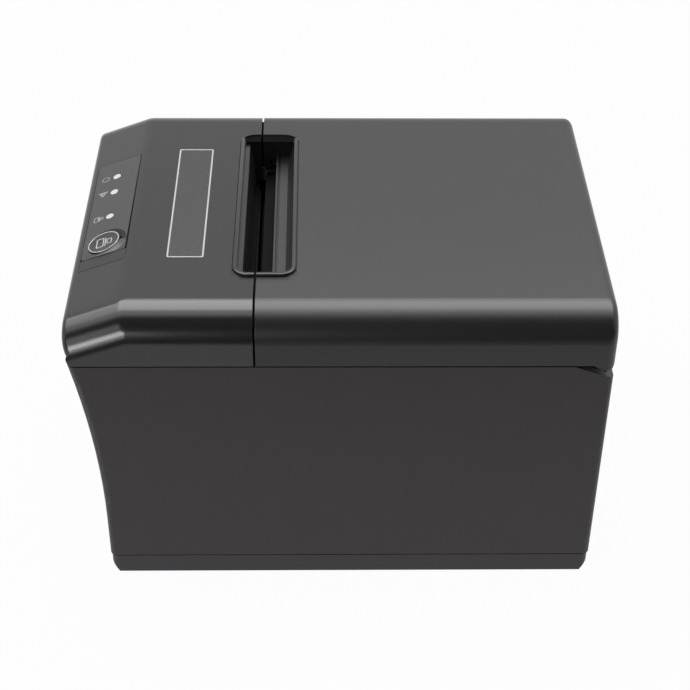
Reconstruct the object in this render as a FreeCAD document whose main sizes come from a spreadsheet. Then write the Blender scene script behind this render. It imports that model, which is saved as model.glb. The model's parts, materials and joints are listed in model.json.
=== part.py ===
import FreeCAD, Part
import math
import os

import Sketcher
from FreeCAD import Placement, Rotation, Vector

# Driving sizes of the printer, in millimetres and degrees, with x across, y to the rear and z up.
SIZES = {
    # Outer form
    "overall_width": 145.0,
    "overall_length": 193.0,
    "overall_height": 124.0,
    "foot_height": 2.0,
    "foot_radius": 7.0,
    "base_height": 8.4,
    "base_gap": 0.7,
    "base_inset": 0.4,
    "toe_run": 2.6,
    "toe_rise": 4.4,
    "cover_height": 21.1,
    "seam_gap": 0.5,
    "cover_gap": 0.8,
    "cover_seam_from_front": 66.7,
    "wall": 2.5,
    "top_round": 11.8,
    "edge_round": 2.4,
    "rear_round": 3.4,
    "slant_run": 20.7,
    "slant_angle": 20.5,
    "break_round": 9.0,
    "nose_straight": 2.8,
    "nose_overhang": 1.4,
    "front_sweep": 9.4,
    "front_sweep_start": 29.0,
    # Hinges of the two covers
    "rear_lip_round": 4.5,
    "rear_axis_drop": 20.0,
    "rear_notch_run": 14.3,
    "rear_notch_drop": 5.2,
    "front_lip_round": 2.8,
    "hinge_pin_radius": 1.2,
    "front_pin_radius": 0.8,
    "hinge_arm_in": 57.0,
    "hinge_arm_width": 6.0,
    "running_clearance": 0.05,
    "part_clearance": 0.3,
    # Paper slot
    "slot_length": 96.0,
    "slot_front": 6.5,
    "slot_rear": 12.8,
    "slot_rim": 1.9,
    "slot_rim_depth": 0.7,
    "slot_rim_corner": 6.0,
    "slot_lip_depth": 7.6,
    "slot_ledge_depth": 8.2,
    "slot_chute_depth": 12.0,
    "slot_end_wall": 2.0,
    # Control panel on the slanted face
    "panel_length": 72.0,
    "panel_width": 18.4,
    "panel_from_break": 1.0,
    "panel_middle_x": -0.2,
    "panel_plate_length": 65.0,
    "panel_recess": 1.3,
    "panel_corner": 1.6,
    "panel_backing": 1.2,
    "button_x": 21.7,
    "button_down": 10.6,
    "button_radius": 6.2,
    "button_rise": 0.5,
    "dish_radius": 8.7,
    "dish_depth": 0.9,
    "ramp_start": 0.8,
    "button_travel": 0.6,
    "lens_radius": 1.55,
    "lens_down": 10.4,
    "lens_one_x": -24.4,
    "lens_two_x": -13.3,
    "lens_three_x": 3.7,
    # Paper bucket
    "bucket_width": 83.0,
    "bucket_from_platen": 17.0,
    "bucket_from_rear": 18.0,
    "bucket_floor": 23.5,
    "bucket_wall": 2.0,
    "deck_drop": 26.5,
    "deck_thick": 2.5,
    # Print mechanism
    "frame_span": 111.0,
    "frame_sheet": 1.5,
    "frame_drop": 84.0,
    "frame_front": 24.5,
    "frame_length": 62.0,
    "cutter_drop": 20.0,
    "platen_behind_seam": 6.3,
    "platen_drop": 28.0,
    "platen_radius": 6.5,
    "platen_length": 80.0,
    "shaft_radius": 2.5,
    "bush_radius": 4.0,
    "head_gap": 0.4,
    "head_thick": 0.8,
    "sink_thick": 4.8,
    "sink_length": 88.0,
    "sink_height": 25.0,
    "sink_below_platen": 16.5,
    "pivot_radius": 1.5,
    "spring_space": 7.0,
    "spring_radius": 2.6,
    "spring_wire": 0.45,
    "spring_pitch_x": 26.0,
    # Gears
    "gear_module": 0.8,
    "gear_backlash": 0.16,
    "gear_width": 4.0,
    "platen_teeth": 22,
    "small_teeth": 16,
    "large_teeth": 36,
    "pinion_teeth": 12,
    "reset_teeth": 40,
    "rack_pinion_teeth": 14,
    "feed_motor_radius": 13.0,
    "feed_motor_length": 23.0,
    "motor_shaft_radius": 1.2,
    "stud_radius": 2.0,
    # Cutter
    "blade_thick": 0.8,
    "blade_half_width": 42.0,
    "blade_depth": 13.6,
    "blade_edge_slope": 3.0,
    "blade_travel": 8.0,
    "blade_rest_gap": 2.4,
    "blade_tail_length": 24.0,
    "cutter_plate": 2.0,
    "cutter_pad": 2.5,
    "cutter_gear_before_seam": 26.2,
    "cutter_motor_radius": 10.0,
    "cutter_motor_length": 22.0,
    "fixed_blade_half": 45.0,
    # Board and rear sockets
    "board_thick": 1.6,
    "board_height": 11.5,
    "board_half_width": 56.0,
    "board_depth": 86.0,
    "socket_depth": 14.0,
    "socket_height": 13.0,
    "screw_radius": 1.4,
    "screw_head_radius": 2.8,
}


class Size:
    """A length with its value and its formula over the cells of the sheet."""

    def __init__(self, value, formula):
        self.value = value
        self.formula = formula

    def __add__(self, other):
        other = as_size(other)
        return Size(self.value + other.value, f"({self.formula} + {other.formula})")

    __radd__ = __add__

    def __neg__(self):
        return Size(-self.value, f"(0 - {self.formula})")

    def __sub__(self, other):
        other = as_size(other)
        return Size(self.value - other.value, f"({self.formula} - {other.formula})")

    def __rsub__(self, other):
        return as_size(other) - self

    def __mul__(self, other):
        other = as_size(other)
        return Size(self.value * other.value, f"({self.formula} * {other.formula})")

    __rmul__ = __mul__

    def __truediv__(self, other):
        other = as_size(other)
        return Size(self.value / other.value, f"({self.formula} / {other.formula})")

    def __rtruediv__(self, other):
        return as_size(other) / self


def as_size(number):
    """A plain number as a size; a size stays as it is."""
    if isinstance(number, Size):
        return number
    return Size(float(number), f"({float(number)!r})")


def cosine(angle):
    return Size(math.cos(math.radians(angle.value)), f"cos({angle.formula})")


def sine(angle):
    return Size(math.sin(math.radians(angle.value)), f"sin({angle.formula})")


def root(square):
    return Size(math.sqrt(square.value), f"sqrt({square.formula})")


class Sheet:
    """The size sheet of the document, with each cell as a size."""

    def __init__(self, document, values):
        cells = document.addObject("Spreadsheet::Sheet", "Dims")
        for row, (alias, value) in enumerate(values.items(), start=1):
            cells.set(f"A{row}", alias)
            cells.set(f"B{row}", str(value))
            cells.setAlias(f"B{row}", alias)
            setattr(self, alias, Size(float(value), f"Dims.{alias}"))


doc = FreeCAD.newDocument("ReceiptPrinter")
d = Sheet(doc, SIZES)
doc.recompute()

# A rod is drawn along z and turned to lie along its axis.
TURN_TO = {
    "x": Rotation(Vector(0, 1, 0), 90),
    "y": Rotation(Vector(1, 0, 0), -90),
    "z": Rotation(),
}
# A chosen edge may miss its plane by this much.
EDGE_SLACK = 0.01
parts = {}


def put(thing, x, y, z):
    """Bind the place of a thing to formulas."""
    for axis, place in zip("xyz", (x, y, z)):
        thing.setExpression(f"Placement.Base.{axis}", as_size(place).formula)


def box(name, x, y, z):
    """A block given by its low and high side along each axis."""
    solid = doc.addObject("Part::Box", name)
    for side, (low, high) in zip(("Length", "Width", "Height"), (x, y, z)):
        solid.setExpression(side, (as_size(high) - low).formula)
    put(solid, x[0], y[0], z[0])
    return solid


def rod(name, along, radius, span, centre):
    """A cylinder along an axis; centre holds the other two coordinates in order."""
    solid = doc.addObject("Part::Cylinder", name)
    solid.Placement = Placement(Vector(), TURN_TO[along])
    solid.setExpression("Radius", as_size(radius).formula)
    solid.setExpression("Height", (as_size(span[1]) - span[0]).formula)
    place = list(centre)
    place.insert("xyz".index(along), span[0])
    put(solid, *place)
    return solid


def fuse(name, *pieces):
    whole = doc.addObject("Part::MultiFuse", name)
    whole.Shapes = list(pieces)
    whole.Refine = True
    return whole


def cut(name, base, *tools):
    whole = doc.addObject("Part::Cut", name)
    whole.Base = base
    whole.Tool = tools[0] if len(tools) == 1 else fuse(f"{name}Tools", *tools)
    whole.Refine = True
    return whole


def group(name, *pieces):
    """Separate solids that make one node."""
    whole = doc.addObject("Part::Compound", name)
    whole.Links = list(pieces)
    return whole


def node(name, thing):
    """Name a finished sub-part."""
    thing.Label = name
    parts[name] = thing
    return thing


def on_slant(thing):
    """Set a thing drawn flat, with y towards the rear, onto the slanted face at the break."""
    thing.Placement = Placement(Vector(), Rotation(Vector(1, 0, 0), d.slant_angle.value))
    put(thing, 0, break_y, d.overall_height)
    thing.setExpression("Placement.Rotation.Angle", d.slant_angle.formula)
    return thing


def arc_between(first, last, bend):
    """An arc from first to last; bend is its radius, positive when it turns left."""
    chord = last - first
    left = Vector(-chord.y, chord.x, 0).normalize()
    reach = math.sqrt(bend * bend - chord.Length * chord.Length / 4)
    centre = first + chord / 2 + left * math.copysign(reach, bend)
    start, end = (first, last) if bend > 0 else (last, first)
    from_angle = math.atan2(start.y - centre.y, start.x - centre.x)
    to_angle = math.atan2(end.y - centre.y, end.x - centre.x)
    return Part.ArcOfCircle(Part.Circle(centre, Vector(0, 0, 1), abs(bend)), from_angle, to_angle)


def draw(body, plane, corners):
    """A closed sketch on an origin plane; a corner's third entry bends the side that leaves it."""
    sketch = body.newObject("Sketcher::SketchObject", f"{body.Name}Sketch")
    support = [feature for feature in body.Origin.OriginFeatures if feature.Role == plane]
    sketch.AttachmentSupport = [(support[0], "")]
    sketch.MapMode = "FlatFace"
    spots = [Vector(as_size(corner[0]).value, as_size(corner[1]).value, 0) for corner in corners]
    ends = []
    for index, corner in enumerate(corners):
        first = spots[index]
        last = spots[(index + 1) % len(spots)]
        if len(corner) > 2:
            sketch.addGeometry(arc_between(first, last, corner[2].value))
            ends.append((1, 2) if corner[2].value > 0 else (2, 1))
        else:
            sketch.addGeometry(Part.LineSegment(first, last))
            ends.append((1, 2))
    for index, corner in enumerate(corners):
        following = (index + 1) % len(corners)
        sketch.addConstraint(
            Sketcher.Constraint("Coincident", index, ends[index][1], following, ends[following][0])
        )
        for kind, place in (("DistanceX", corner[0]), ("DistanceY", corner[1])):
            place = as_size(place)
            rule = Sketcher.Constraint(kind, -1, 1, index, ends[index][0], place.value)
            number = sketch.addConstraint(rule)
            sketch.setExpression(f"Constraints[{number}]", place.formula)
        if len(corner) > 2:
            bend = corner[2] if corner[2].value > 0 else -corner[2]
            number = sketch.addConstraint(Sketcher.Constraint("Radius", index, bend.value))
            sketch.setExpression(f"Constraints[{number}]", bend.formula)
    return sketch


def prism(name, plane, corners, span):
    """A body padded from a sketch; the YZ plane pads along x and the XY plane along z."""
    body = doc.addObject("PartDesign::Body", name)
    pad = body.newObject("PartDesign::Pad", f"{name}Pad")
    pad.Profile = draw(body, plane, corners)
    pad.setExpression("Length", (as_size(span[1]) - span[0]).formula)
    axis = "x" if plane == "YZ_Plane" else "z"
    body.setExpression(f"Placement.Base.{axis}", as_size(span[0]).formula)
    return body


def across(name, corners, width):
    """A body padded evenly to both sides of the middle plane."""
    body = doc.addObject("PartDesign::Body", name)
    pad = body.newObject("PartDesign::Pad", f"{name}Pad")
    pad.Profile = draw(body, "YZ_Plane", corners)
    pad.Midplane = True
    pad.setExpression("Length", width.formula)
    return body


def round_edges(body, radius, chosen):
    """Round the edges of a body that the test picks."""
    doc.recompute()
    base = body.Tip
    names = [f"Edge{index}" for index, edge in enumerate(base.Shape.Edges, 1) if chosen(edge.BoundBox)]
    rounding = body.newObject("PartDesign::Fillet", f"{body.Name}Round{len(body.Group)}")
    rounding.Base = (base, names)
    rounding.setExpression("Radius", radius.formula)
    doc.recompute()


def rounded_block(name, x, y, z, corner):
    """A block with its four upright edges rounded."""
    block = prism(name, "XY_Plane", [(x[0], y[0]), (x[1], y[0]), (x[1], y[1]), (x[0], y[1])], z)
    round_edges(block, corner, lambda edge: edge.ZLength > EDGE_SLACK and edge.XLength < EDGE_SLACK)
    return block


def on_side(edge, half_width):
    """Whether an edge lies in one of the two side planes."""
    return edge.XLength < EDGE_SLACK and abs(abs(edge.XMin) - half_width) < EDGE_SLACK


def gear(name, teeth, width, bore, span_start, along="x"):
    """A spur gear about its own axis with one tooth on the first axis of its plane."""
    plane = "YZ_Plane" if along == "x" else "XY_Plane"
    body = doc.addObject("PartDesign::Body", name)
    pitch = d.gear_module * teeth / 2
    foot = pitch - d.gear_module * 1.35
    tip = pitch + d.gear_module * 0.9
    disc = body.newObject("PartDesign::Pad", f"{name}Disc")
    circles = body.newObject("Sketcher::SketchObject", f"{name}Circles")
    support = [feature for feature in body.Origin.OriginFeatures if feature.Role == plane]
    circles.AttachmentSupport = [(support[0], "")]
    circles.MapMode = "FlatFace"
    for radius in (foot, bore):
        index = circles.addGeometry(Part.Circle(Vector(), Vector(0, 0, 1), radius.value))
        circles.addConstraint(Sketcher.Constraint("Coincident", index, 3, -1, 1))
        number = circles.addConstraint(Sketcher.Constraint("Radius", index, radius.value))
        circles.setExpression(f"Constraints[{number}]", radius.formula)
    disc.Profile = circles
    disc.setExpression("Length", width.formula)
    tooth = body.newObject("PartDesign::Pad", f"{name}Tooth")
    tooth.Profile = draw(body, plane, tooth_outline(teeth, foot, tip))
    tooth.setExpression("Length", width.formula)
    doc.recompute()
    ring = body.newObject("PartDesign::PolarPattern", f"{name}Teeth")
    ring.Originals = [tooth]
    ring.Axis = (circles, ["N_Axis"])
    ring.Angle = 360
    ring.setExpression("Occurrences", teeth.formula)
    body.Tip = ring
    body.setExpression(f"Placement.Base.{along}", as_size(span_start).formula)
    return body


def tooth_outline(teeth, foot, tip):
    """Both flanks of an involute tooth on the first axis, thinned by the backlash."""
    pressure = math.radians(20)
    count = teeth.value
    pitch_radius = count / 2
    base_radius = pitch_radius * math.cos(pressure)
    lean = math.tan(pressure) - pressure
    half_tooth = math.pi / (2 * count)
    flank = []
    for step in (-1.0, -0.5, 0.0, 0.45, 0.9):
        radius = max(pitch_radius + step, base_radius)
        roll = math.sqrt(max((radius / base_radius) ** 2 - 1, 0))
        angle = half_tooth + lean - (roll - math.atan(roll))
        along = d.gear_module * ((pitch_radius + step) * math.cos(angle))
        aside = d.gear_module * ((pitch_radius + step) * math.sin(angle)) - d.gear_backlash / 2
        flank.append((along, aside))
    inside = foot - d.gear_module / 2
    near = [(inside, flank[0][1])] + flank
    far = [(along, -aside) for along, aside in reversed(near)]
    return [(along, -aside) for along, aside in near] + [(along, -aside) for along, aside in far]


def turn_gear(body, along, first, second, degrees):
    """Set a gear to its centre and turn it by its meshing angle."""
    axis = Vector(1, 0, 0) if along == "x" else Vector(0, 0, 1)
    body.Placement = Placement(Vector(), Rotation(axis, degrees))
    for name, place in zip("yz" if along == "x" else "xy", (first, second)):
        body.setExpression(f"Placement.Base.{name}", as_size(place).formula)


# Shared planes and lines
half_width = d.overall_width / 2
inner_half = half_width - d.wall
rear_y = d.overall_length / 2
front_y = -rear_y
base_bottom = d.foot_height
base_top = d.foot_height + d.base_height
seam_z = d.overall_height - d.cover_height
case_bottom = base_top + d.base_gap
case_top = seam_z - d.seam_gap / 2
cover_bottom = seam_z + d.seam_gap / 2
top_inside = d.overall_height - d.wall
break_y = front_y + d.slant_run
slant_rise = sine(d.slant_angle) / cosine(d.slant_angle)
nose_z = d.overall_height - d.slant_run * slant_rise
lip_y = front_y + d.nose_overhang
low_front_y = front_y + d.front_sweep
seam_y = front_y + d.cover_seam_from_front
front_cover_end = seam_y - d.cover_gap / 2
paper_cover_start = seam_y + d.cover_gap / 2

# The paper bucket lies between the platen and the rear wall, and the mechanism hangs from the top.
rear_axis_z = d.overall_height - d.rear_axis_drop
platen_y = seam_y + d.platen_behind_seam
platen_z = d.overall_height - d.platen_drop
bucket_front = platen_y + d.bucket_from_platen
bucket_rear = rear_y - d.bucket_from_rear
bucket_radius = (bucket_rear - bucket_front) / 2
bucket_y = (bucket_rear + bucket_front) / 2
bucket_z = d.bucket_floor + bucket_radius
deck_height = d.overall_height - d.deck_drop
frame_floor = d.overall_height - d.frame_drop
cutter_level = d.overall_height - d.cutter_drop
sink_bottom = platen_z - d.sink_below_platen
cutter_gear_y = seam_y - d.cutter_gear_before_seam

# Cutting blocks reach past the outline by this much.
overhang = d.overall_width

frame_half = d.frame_span / 2
frame_inner = frame_half - d.frame_sheet
blade_low = cutter_level + d.cutter_plate + d.cutter_pad + 0.1
blade_high = blade_low + d.blade_thick
fixed_top = blade_low - 0.2
fixed_low = fixed_top - 1.0
holder_half = d.fixed_blade_half + 6.0


# Lower case: a tube of walls with a front that sweeps out towards the top
def sweep_radius(run, rise):
    """Radius of an arc that leaves the vertical and moves over by run within rise."""
    return (run * run + rise * rise) / (2 * run)


sweep_rise = case_top - d.front_sweep_start
sweep_run = d.front_sweep - d.nose_overhang
front_bend = sweep_radius(sweep_run, sweep_rise)
# The swept front is turned about an axis in front of the printer, level with the start of the sweep.
front_depth = d.front_sweep * 4
case_front = doc.addObject("PartDesign::Body", "CaseFront")
front_turn = case_front.newObject("PartDesign::Revolution", "CaseFrontTurn")
front_sketch = draw(
    case_front,
    "XY_Plane",
    [
        (-half_width, front_bend + front_depth),
        (-half_width, front_bend + d.edge_round, d.edge_round),
        (-half_width + d.edge_round, front_bend),
        (half_width - d.edge_round, front_bend, d.edge_round),
        (half_width, front_bend + d.edge_round),
        (half_width, front_bend + front_depth),
    ],
)
front_turn.Profile = front_sketch
front_turn.ReferenceAxis = (front_sketch, ["H_Axis"])
front_turn.setExpression("Angle", f"1.2 * asin({(sweep_rise / front_bend).formula})")
put(case_front, 0, low_front_y - front_bend, d.front_sweep_start)
above_case = box(
    "AboveCase",
    (-overhang, overhang),
    (front_y - overhang, rear_y),
    (case_top, d.overall_height + overhang),
)
case_rear = across(
    "CaseRear",
    [
        (low_front_y + front_depth / 2, d.front_sweep_start),
        (rear_y, d.front_sweep_start),
        (rear_y, case_top),
        (low_front_y + front_depth / 2, case_top),
    ],
    d.overall_width,
)
round_edges(
    case_rear,
    d.edge_round,
    lambda edge: on_side(edge, half_width.value)
    and edge.ZLength > EDGE_SLACK
    and edge.YMin > 0,
)
case_lower = rounded_block(
    "CaseLower",
    (-half_width, half_width),
    (low_front_y, rear_y),
    (case_bottom, d.front_sweep_start),
    d.edge_round,
)
rear_notch = across(
    "RearNotch",
    [
        (rear_y - d.rear_notch_run, case_top),
        (rear_y + d.rear_notch_run, case_top - d.rear_notch_drop * 2),
        (rear_y + d.rear_notch_run, case_top + d.wall),
        (rear_y - d.rear_notch_run, case_top + d.wall),
    ],
    d.overall_width + d.wall,
)
case_blocks = fuse("CaseBlocks", case_lower, case_rear, case_front)
case_outer = cut("CaseOuter", case_blocks, above_case, rear_notch)
inner_bend = front_bend + d.wall
inner_low = low_front_y + d.wall
over_top = case_top + d.wall
inner_rise = over_top - d.front_sweep_start
inner_top_y = inner_low - inner_bend + root(inner_bend * inner_bend - inner_rise * inner_rise)
case_inner = across(
    "CaseInner",
    [
        (inner_low, case_bottom - d.wall),
        (rear_y - d.wall, case_bottom - d.wall),
        (rear_y - d.wall, over_top),
        (inner_top_y, over_top, inner_bend),
        (inner_low, d.front_sweep_start),
    ],
    inner_half * 2,
)
case_shell = cut("CaseShell", case_outer, case_inner)

# Ledges inside the case that carry the bucket deck, and a front shelf that carries the front hinge
deck_bottom = deck_height - d.deck_thick
ledge_width = d.wall * 1.6
ledge_height = d.wall * 1.2
deck_start = bucket_y - bucket_radius - d.bucket_wall
deck_end = rear_y - d.wall - d.part_clearance
ledges = []
for side, name in ((1, "Right"), (-1, "Left")):
    low, high = sorted((side * (inner_half.value - ledge_width.value), side * half_width.value))
    edge_in = side * (inner_half - ledge_width)
    edge_out = side * (half_width - d.wall / 2)
    x = (edge_in, edge_out) if side > 0 else (edge_out, edge_in)
    ledges.append(
        box(f"Ledge{name}", x, (deck_start, deck_end - d.wall), (deck_bottom - ledge_height, deck_bottom))
    )
shelf_top = case_top - d.wall
shelf_end = front_y + d.frame_front - d.wall
shelf = box(
    "FrontShelf",
    (-(half_width - d.wall / 2), half_width - d.wall / 2),
    (lip_y + d.wall / 2 + d.nose_overhang, shelf_end),
    (shelf_top - d.wall, shelf_top),
)

# Front hinge arms rise from the shelf and reach forward to the axis of the front cover
front_axis_y = lip_y + d.front_lip_round
front_axis_z = cover_bottom + d.front_lip_round
front_eye = d.front_pin_radius * 2
arm_out = d.hinge_arm_in + d.hinge_arm_width
front_leg = front_axis_y + d.front_lip_round * 2 + d.wall
front_arms = []
for side, name in ((1, "Right"), (-1, "Left")):
    x = (d.hinge_arm_in, arm_out) if side > 0 else (-arm_out, -d.hinge_arm_in)
    leg = box(
        f"FrontLeg{name}",
        x,
        (front_leg - d.wall, front_leg + d.wall),
        (shelf_top - d.wall / 2, front_axis_z + front_eye),
    )
    reach = box(
        f"FrontReach{name}",
        x,
        (front_axis_y, front_leg),
        (front_axis_z - front_eye / 2, front_axis_z + front_eye),
    )
    eye = rod(f"FrontEye{name}", "x", front_eye, x, (front_axis_y, front_axis_z))
    front_arms += [leg, reach, eye]

# Screw bosses in the case corners
boss_radius = d.screw_head_radius + d.wall / 2
boss_x = inner_half - boss_radius + d.wall / 4
boss_front = inner_low + boss_radius - d.wall / 4
boss_rear = rear_y - d.wall - boss_radius + d.wall / 4
boss_top = d.front_sweep_start
boss_places = [(side * boss_x, y) for side in (1, -1) for y in (boss_front, boss_rear)]
bosses = []
boss_holes = []
for index, (x, y) in enumerate(boss_places):
    bosses.append(rod(f"Boss{index}", "z", boss_radius, (case_bottom, boss_top), (x, y)))
    boss_holes.append(rod(f"BossHole{index}", "z", d.screw_radius, (case_bottom - 1, boss_top - 1), (x, y)))

# Sockets on the rear edge of the main board
board_top = d.board_height + d.board_thick
socket_rear = rear_y - d.part_clearance
socket_front = socket_rear - d.socket_depth
socket_top = board_top + d.socket_height
SOCKETS = {"power_inlet": (44.0, 14.0), "data_port": (24.0, 12.0), "network_port": (2.0, 16.0),
           "drawer_port": (-20.0, 14.0)}
openings = []
for name, (middle, width) in SOCKETS.items():
    reach = width / 2 + d.part_clearance
    openings.append(
        box(
            f"Opening_{name}",
            (middle - reach, middle + reach),
            (rear_y - d.wall * 2, rear_y + d.wall),
            (board_top - d.part_clearance, socket_top + d.part_clearance),
        )
    )
rocker_x = -47.0
rocker_half = 9.5
rocker_low = board_top + 2.0
rocker_high = rocker_low + 13.0
openings.append(
    box(
        "Opening_switch",
        (rocker_x - rocker_half - d.part_clearance, rocker_x + rocker_half + d.part_clearance),
        (rear_y - d.wall * 2, rear_y + d.wall),
        (rocker_low - d.part_clearance, rocker_high + d.part_clearance),
    )
)
front_pin_hole = rod(
    "FrontPinBore",
    "x",
    d.front_pin_radius + d.running_clearance,
    (-half_width, half_width),
    (front_axis_y, front_axis_z),
)
case_whole = fuse("CaseWhole", case_shell, shelf, *ledges, *front_arms, *bosses)
node("lower_case", cut("LowerCase", case_whole, front_pin_hole, *boss_holes, *openings))

# Base tray with sloped toes at front and rear and a lip that locates the case
base_half = half_width - d.base_inset
base_front = low_front_y + d.base_inset
base_rear = rear_y - d.base_inset
base_block = rounded_block(
    "BaseBlock", (-base_half, base_half), (base_front, base_rear), (base_bottom, base_top), d.edge_round
)
toes = []
for edge_y, inward, name in ((base_front, 1, "Front"), (base_rear, -1, "Rear")):
    toes.append(
        across(
            f"BaseToe{name}",
            [
                (edge_y + d.toe_run * 2 * inward, base_bottom - d.toe_rise),
                (edge_y - d.toe_run * inward, base_bottom + d.toe_rise * 2),
                (edge_y - d.toe_run * inward, base_bottom - d.toe_rise),
            ],
            d.overall_width + d.wall,
        )
    )
floor_z = base_bottom + d.wall
base_hollow = box(
    "BaseHollow",
    (-(base_half - d.wall), base_half - d.wall),
    (base_front + d.wall, base_rear - d.wall),
    (floor_z, base_top + d.wall),
)
lip_thick = d.wall * 0.6
lip_half = inner_half - d.part_clearance
lip_front = inner_low + d.part_clearance
lip_rear = rear_y - d.wall - d.part_clearance
base_lip_top = base_top + d.wall * 0.8
locating_lip = cut(
    "LocatingLip",
    box("LipOuter", (-lip_half, lip_half), (lip_front, lip_rear), (floor_z - 1, base_lip_top)),
    box(
        "LipInner",
        (-(lip_half - lip_thick), lip_half - lip_thick),
        (lip_front + lip_thick, lip_rear - lip_thick),
        (floor_z - 2, base_top + d.wall * 2),
    ),
)
mech_posts = []
frame_front_y = front_y + d.frame_front
frame_rear_y = frame_front_y + d.frame_length
post_x = d.frame_span / 2 - 10.0
post_radius = d.screw_head_radius + 1.5
mech_places = [
    (side * post_x, y) for side in (1, -1) for y in (frame_front_y + 6.0, frame_rear_y - 8.0)
]
for index, (x, y) in enumerate(mech_places):
    mech_posts.append(rod(f"MechPost{index}", "z", post_radius, (floor_z - 1, frame_floor), (x, y)))
board_rear = rear_y - d.wall * 2
board_front = board_rear - d.board_depth
board_places = [
    (side * (d.board_half_width - 5.0), y) for side in (1, -1) for y in (board_front + 5.0, board_rear - 20.0)
]
board_posts = []
for index, (x, y) in enumerate(board_places):
    board_posts.append(
        rod(f"BoardPost{index}", "z", d.screw_head_radius + 0.4, (floor_z - 1, d.board_height), (x, y))
    )
lip_notches = []
for index, (x, y) in enumerate(boss_places):
    lip_notches.append(
        rod(
            f"LipNotch{index}",
            "z",
            boss_radius + d.part_clearance,
            (base_top, base_top + d.wall * 2),
            (x, y),
        )
    )
case_seats = []
seat_bores = []
for index, (x, y) in enumerate(boss_places):
    case_seats.append(rod(f"Seat{index}", "z", boss_radius, (floor_z - 1, case_bottom), (x, y)))
    seat_bores.append(
        rod(f"SeatBore{index}", "z", d.screw_radius, (base_bottom - 1, case_bottom + 1), (x, y))
    )
    seat_bores.append(
        rod(f"SeatHead{index}", "z", d.screw_head_radius + 0.3, (base_bottom - 1, floor_z + 1.5), (x, y))
    )
base_shell = cut("BaseShell", base_block, base_hollow, *toes)
lip_cut = cut("LipCut", locating_lip, *lip_notches)
base_whole = fuse("BaseWhole", base_shell, lip_cut, *mech_posts, *board_posts, *case_seats)
node("base_tray", cut("BaseTray", base_whole, *seat_bores))

# Screws that hold the case to the base, from below
base_screws = []
for index, (x, y) in enumerate(boss_places):
    head = rod(f"BaseScrewHead{index}", "z", d.screw_head_radius, (floor_z - 0.5, floor_z + 1.5), (x, y))
    shank = rod(f"BaseScrewShank{index}", "z", d.screw_radius, (floor_z + 1.0, case_bottom + 9.0), (x, y))
    drive = box(
        f"BaseScrewDrive{index}", (x - 1.8, x + 1.8), (y - 0.4, y + 0.4), (floor_z - 1.0, floor_z + 0.5)
    )
    cross = box(
        f"BaseScrewCross{index}", (x - 0.4, x + 0.4), (y - 1.8, y + 1.8), (floor_z - 1.0, floor_z + 0.5)
    )
    base_screws.append(
        cut(f"BaseScrew{index}", fuse(f"BaseScrewBlank{index}", head, shank), drive, cross)
    )
node("base_screws", group("BaseScrews", *base_screws))

# Rubber feet under the base corners
foot_x = half_width - d.foot_radius * 2
feet = []
for index, (x, y) in enumerate(
    (side * foot_x, y) for side in (1, -1) for y in (base_front + d.foot_radius * 3, base_rear - d.foot_radius * 3)
):
    feet.append(rod(f"Foot{index}", "z", d.foot_radius, (0, base_bottom), (x, y)))
node("rubber_feet", group("RubberFeet", *feet))

# Paper bucket: a trough below a deck, with the arms of the rear hinge
rear_axis_y = rear_y - d.rear_lip_round
bucket_half = d.bucket_width / 2
trough_front = bucket_y - bucket_radius
trough_rear = bucket_y + bucket_radius


def trough(name, margin, top, width):
    """A channel with a round floor, larger than the roll space by the margin."""
    low_y = trough_front - margin
    high_y = trough_rear + margin
    return across(
        name,
        [
            (low_y, bucket_z, bucket_radius + margin),
            (bucket_y, bucket_z - bucket_radius - margin, bucket_radius + margin),
            (high_y, bucket_z),
            (high_y, top),
            (low_y, top),
        ],
        width,
    )


trough_outer = trough("TroughOuter", d.bucket_wall, deck_height, d.bucket_width + d.bucket_wall * 2)
trough_inner = trough("TroughInner", as_size(0), deck_height + d.wall, d.bucket_width)
deck_half = inner_half - d.part_clearance
deck = box("Deck", (-deck_half, deck_half), (deck_start, deck_end), (deck_bottom, deck_height))
rear_eye = d.hinge_pin_radius * 2
rear_leg = rear_axis_y - d.rear_lip_round - d.wall - d.part_clearance
rear_arms = []
for side, name in ((1, "Right"), (-1, "Left")):
    x = (d.hinge_arm_in, arm_out) if side > 0 else (-arm_out, -d.hinge_arm_in)
    leg = box(
        f"RearLeg{name}",
        x,
        (rear_leg - d.wall, rear_leg + d.wall),
        (deck_bottom, rear_axis_z + rear_eye),
    )
    reach = box(
        f"RearReach{name}",
        x,
        (rear_leg, rear_axis_y),
        (rear_axis_z - rear_eye * 0.8, rear_axis_z + rear_eye),
    )
    eye = rod(f"RearEye{name}", "x", rear_eye, x, (rear_axis_y, rear_axis_z))
    rear_arms += [leg, reach, eye]
rear_pin_bore = rod(
    "RearPinBore",
    "x",
    d.hinge_pin_radius + d.running_clearance,
    (-half_width, half_width),
    (rear_axis_y, rear_axis_z),
)
bucket_whole = fuse("BucketWhole", trough_outer, deck, *rear_arms)
node("paper_bucket", cut("PaperBucket", bucket_whole, trough_inner, rear_pin_bore))

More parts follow.
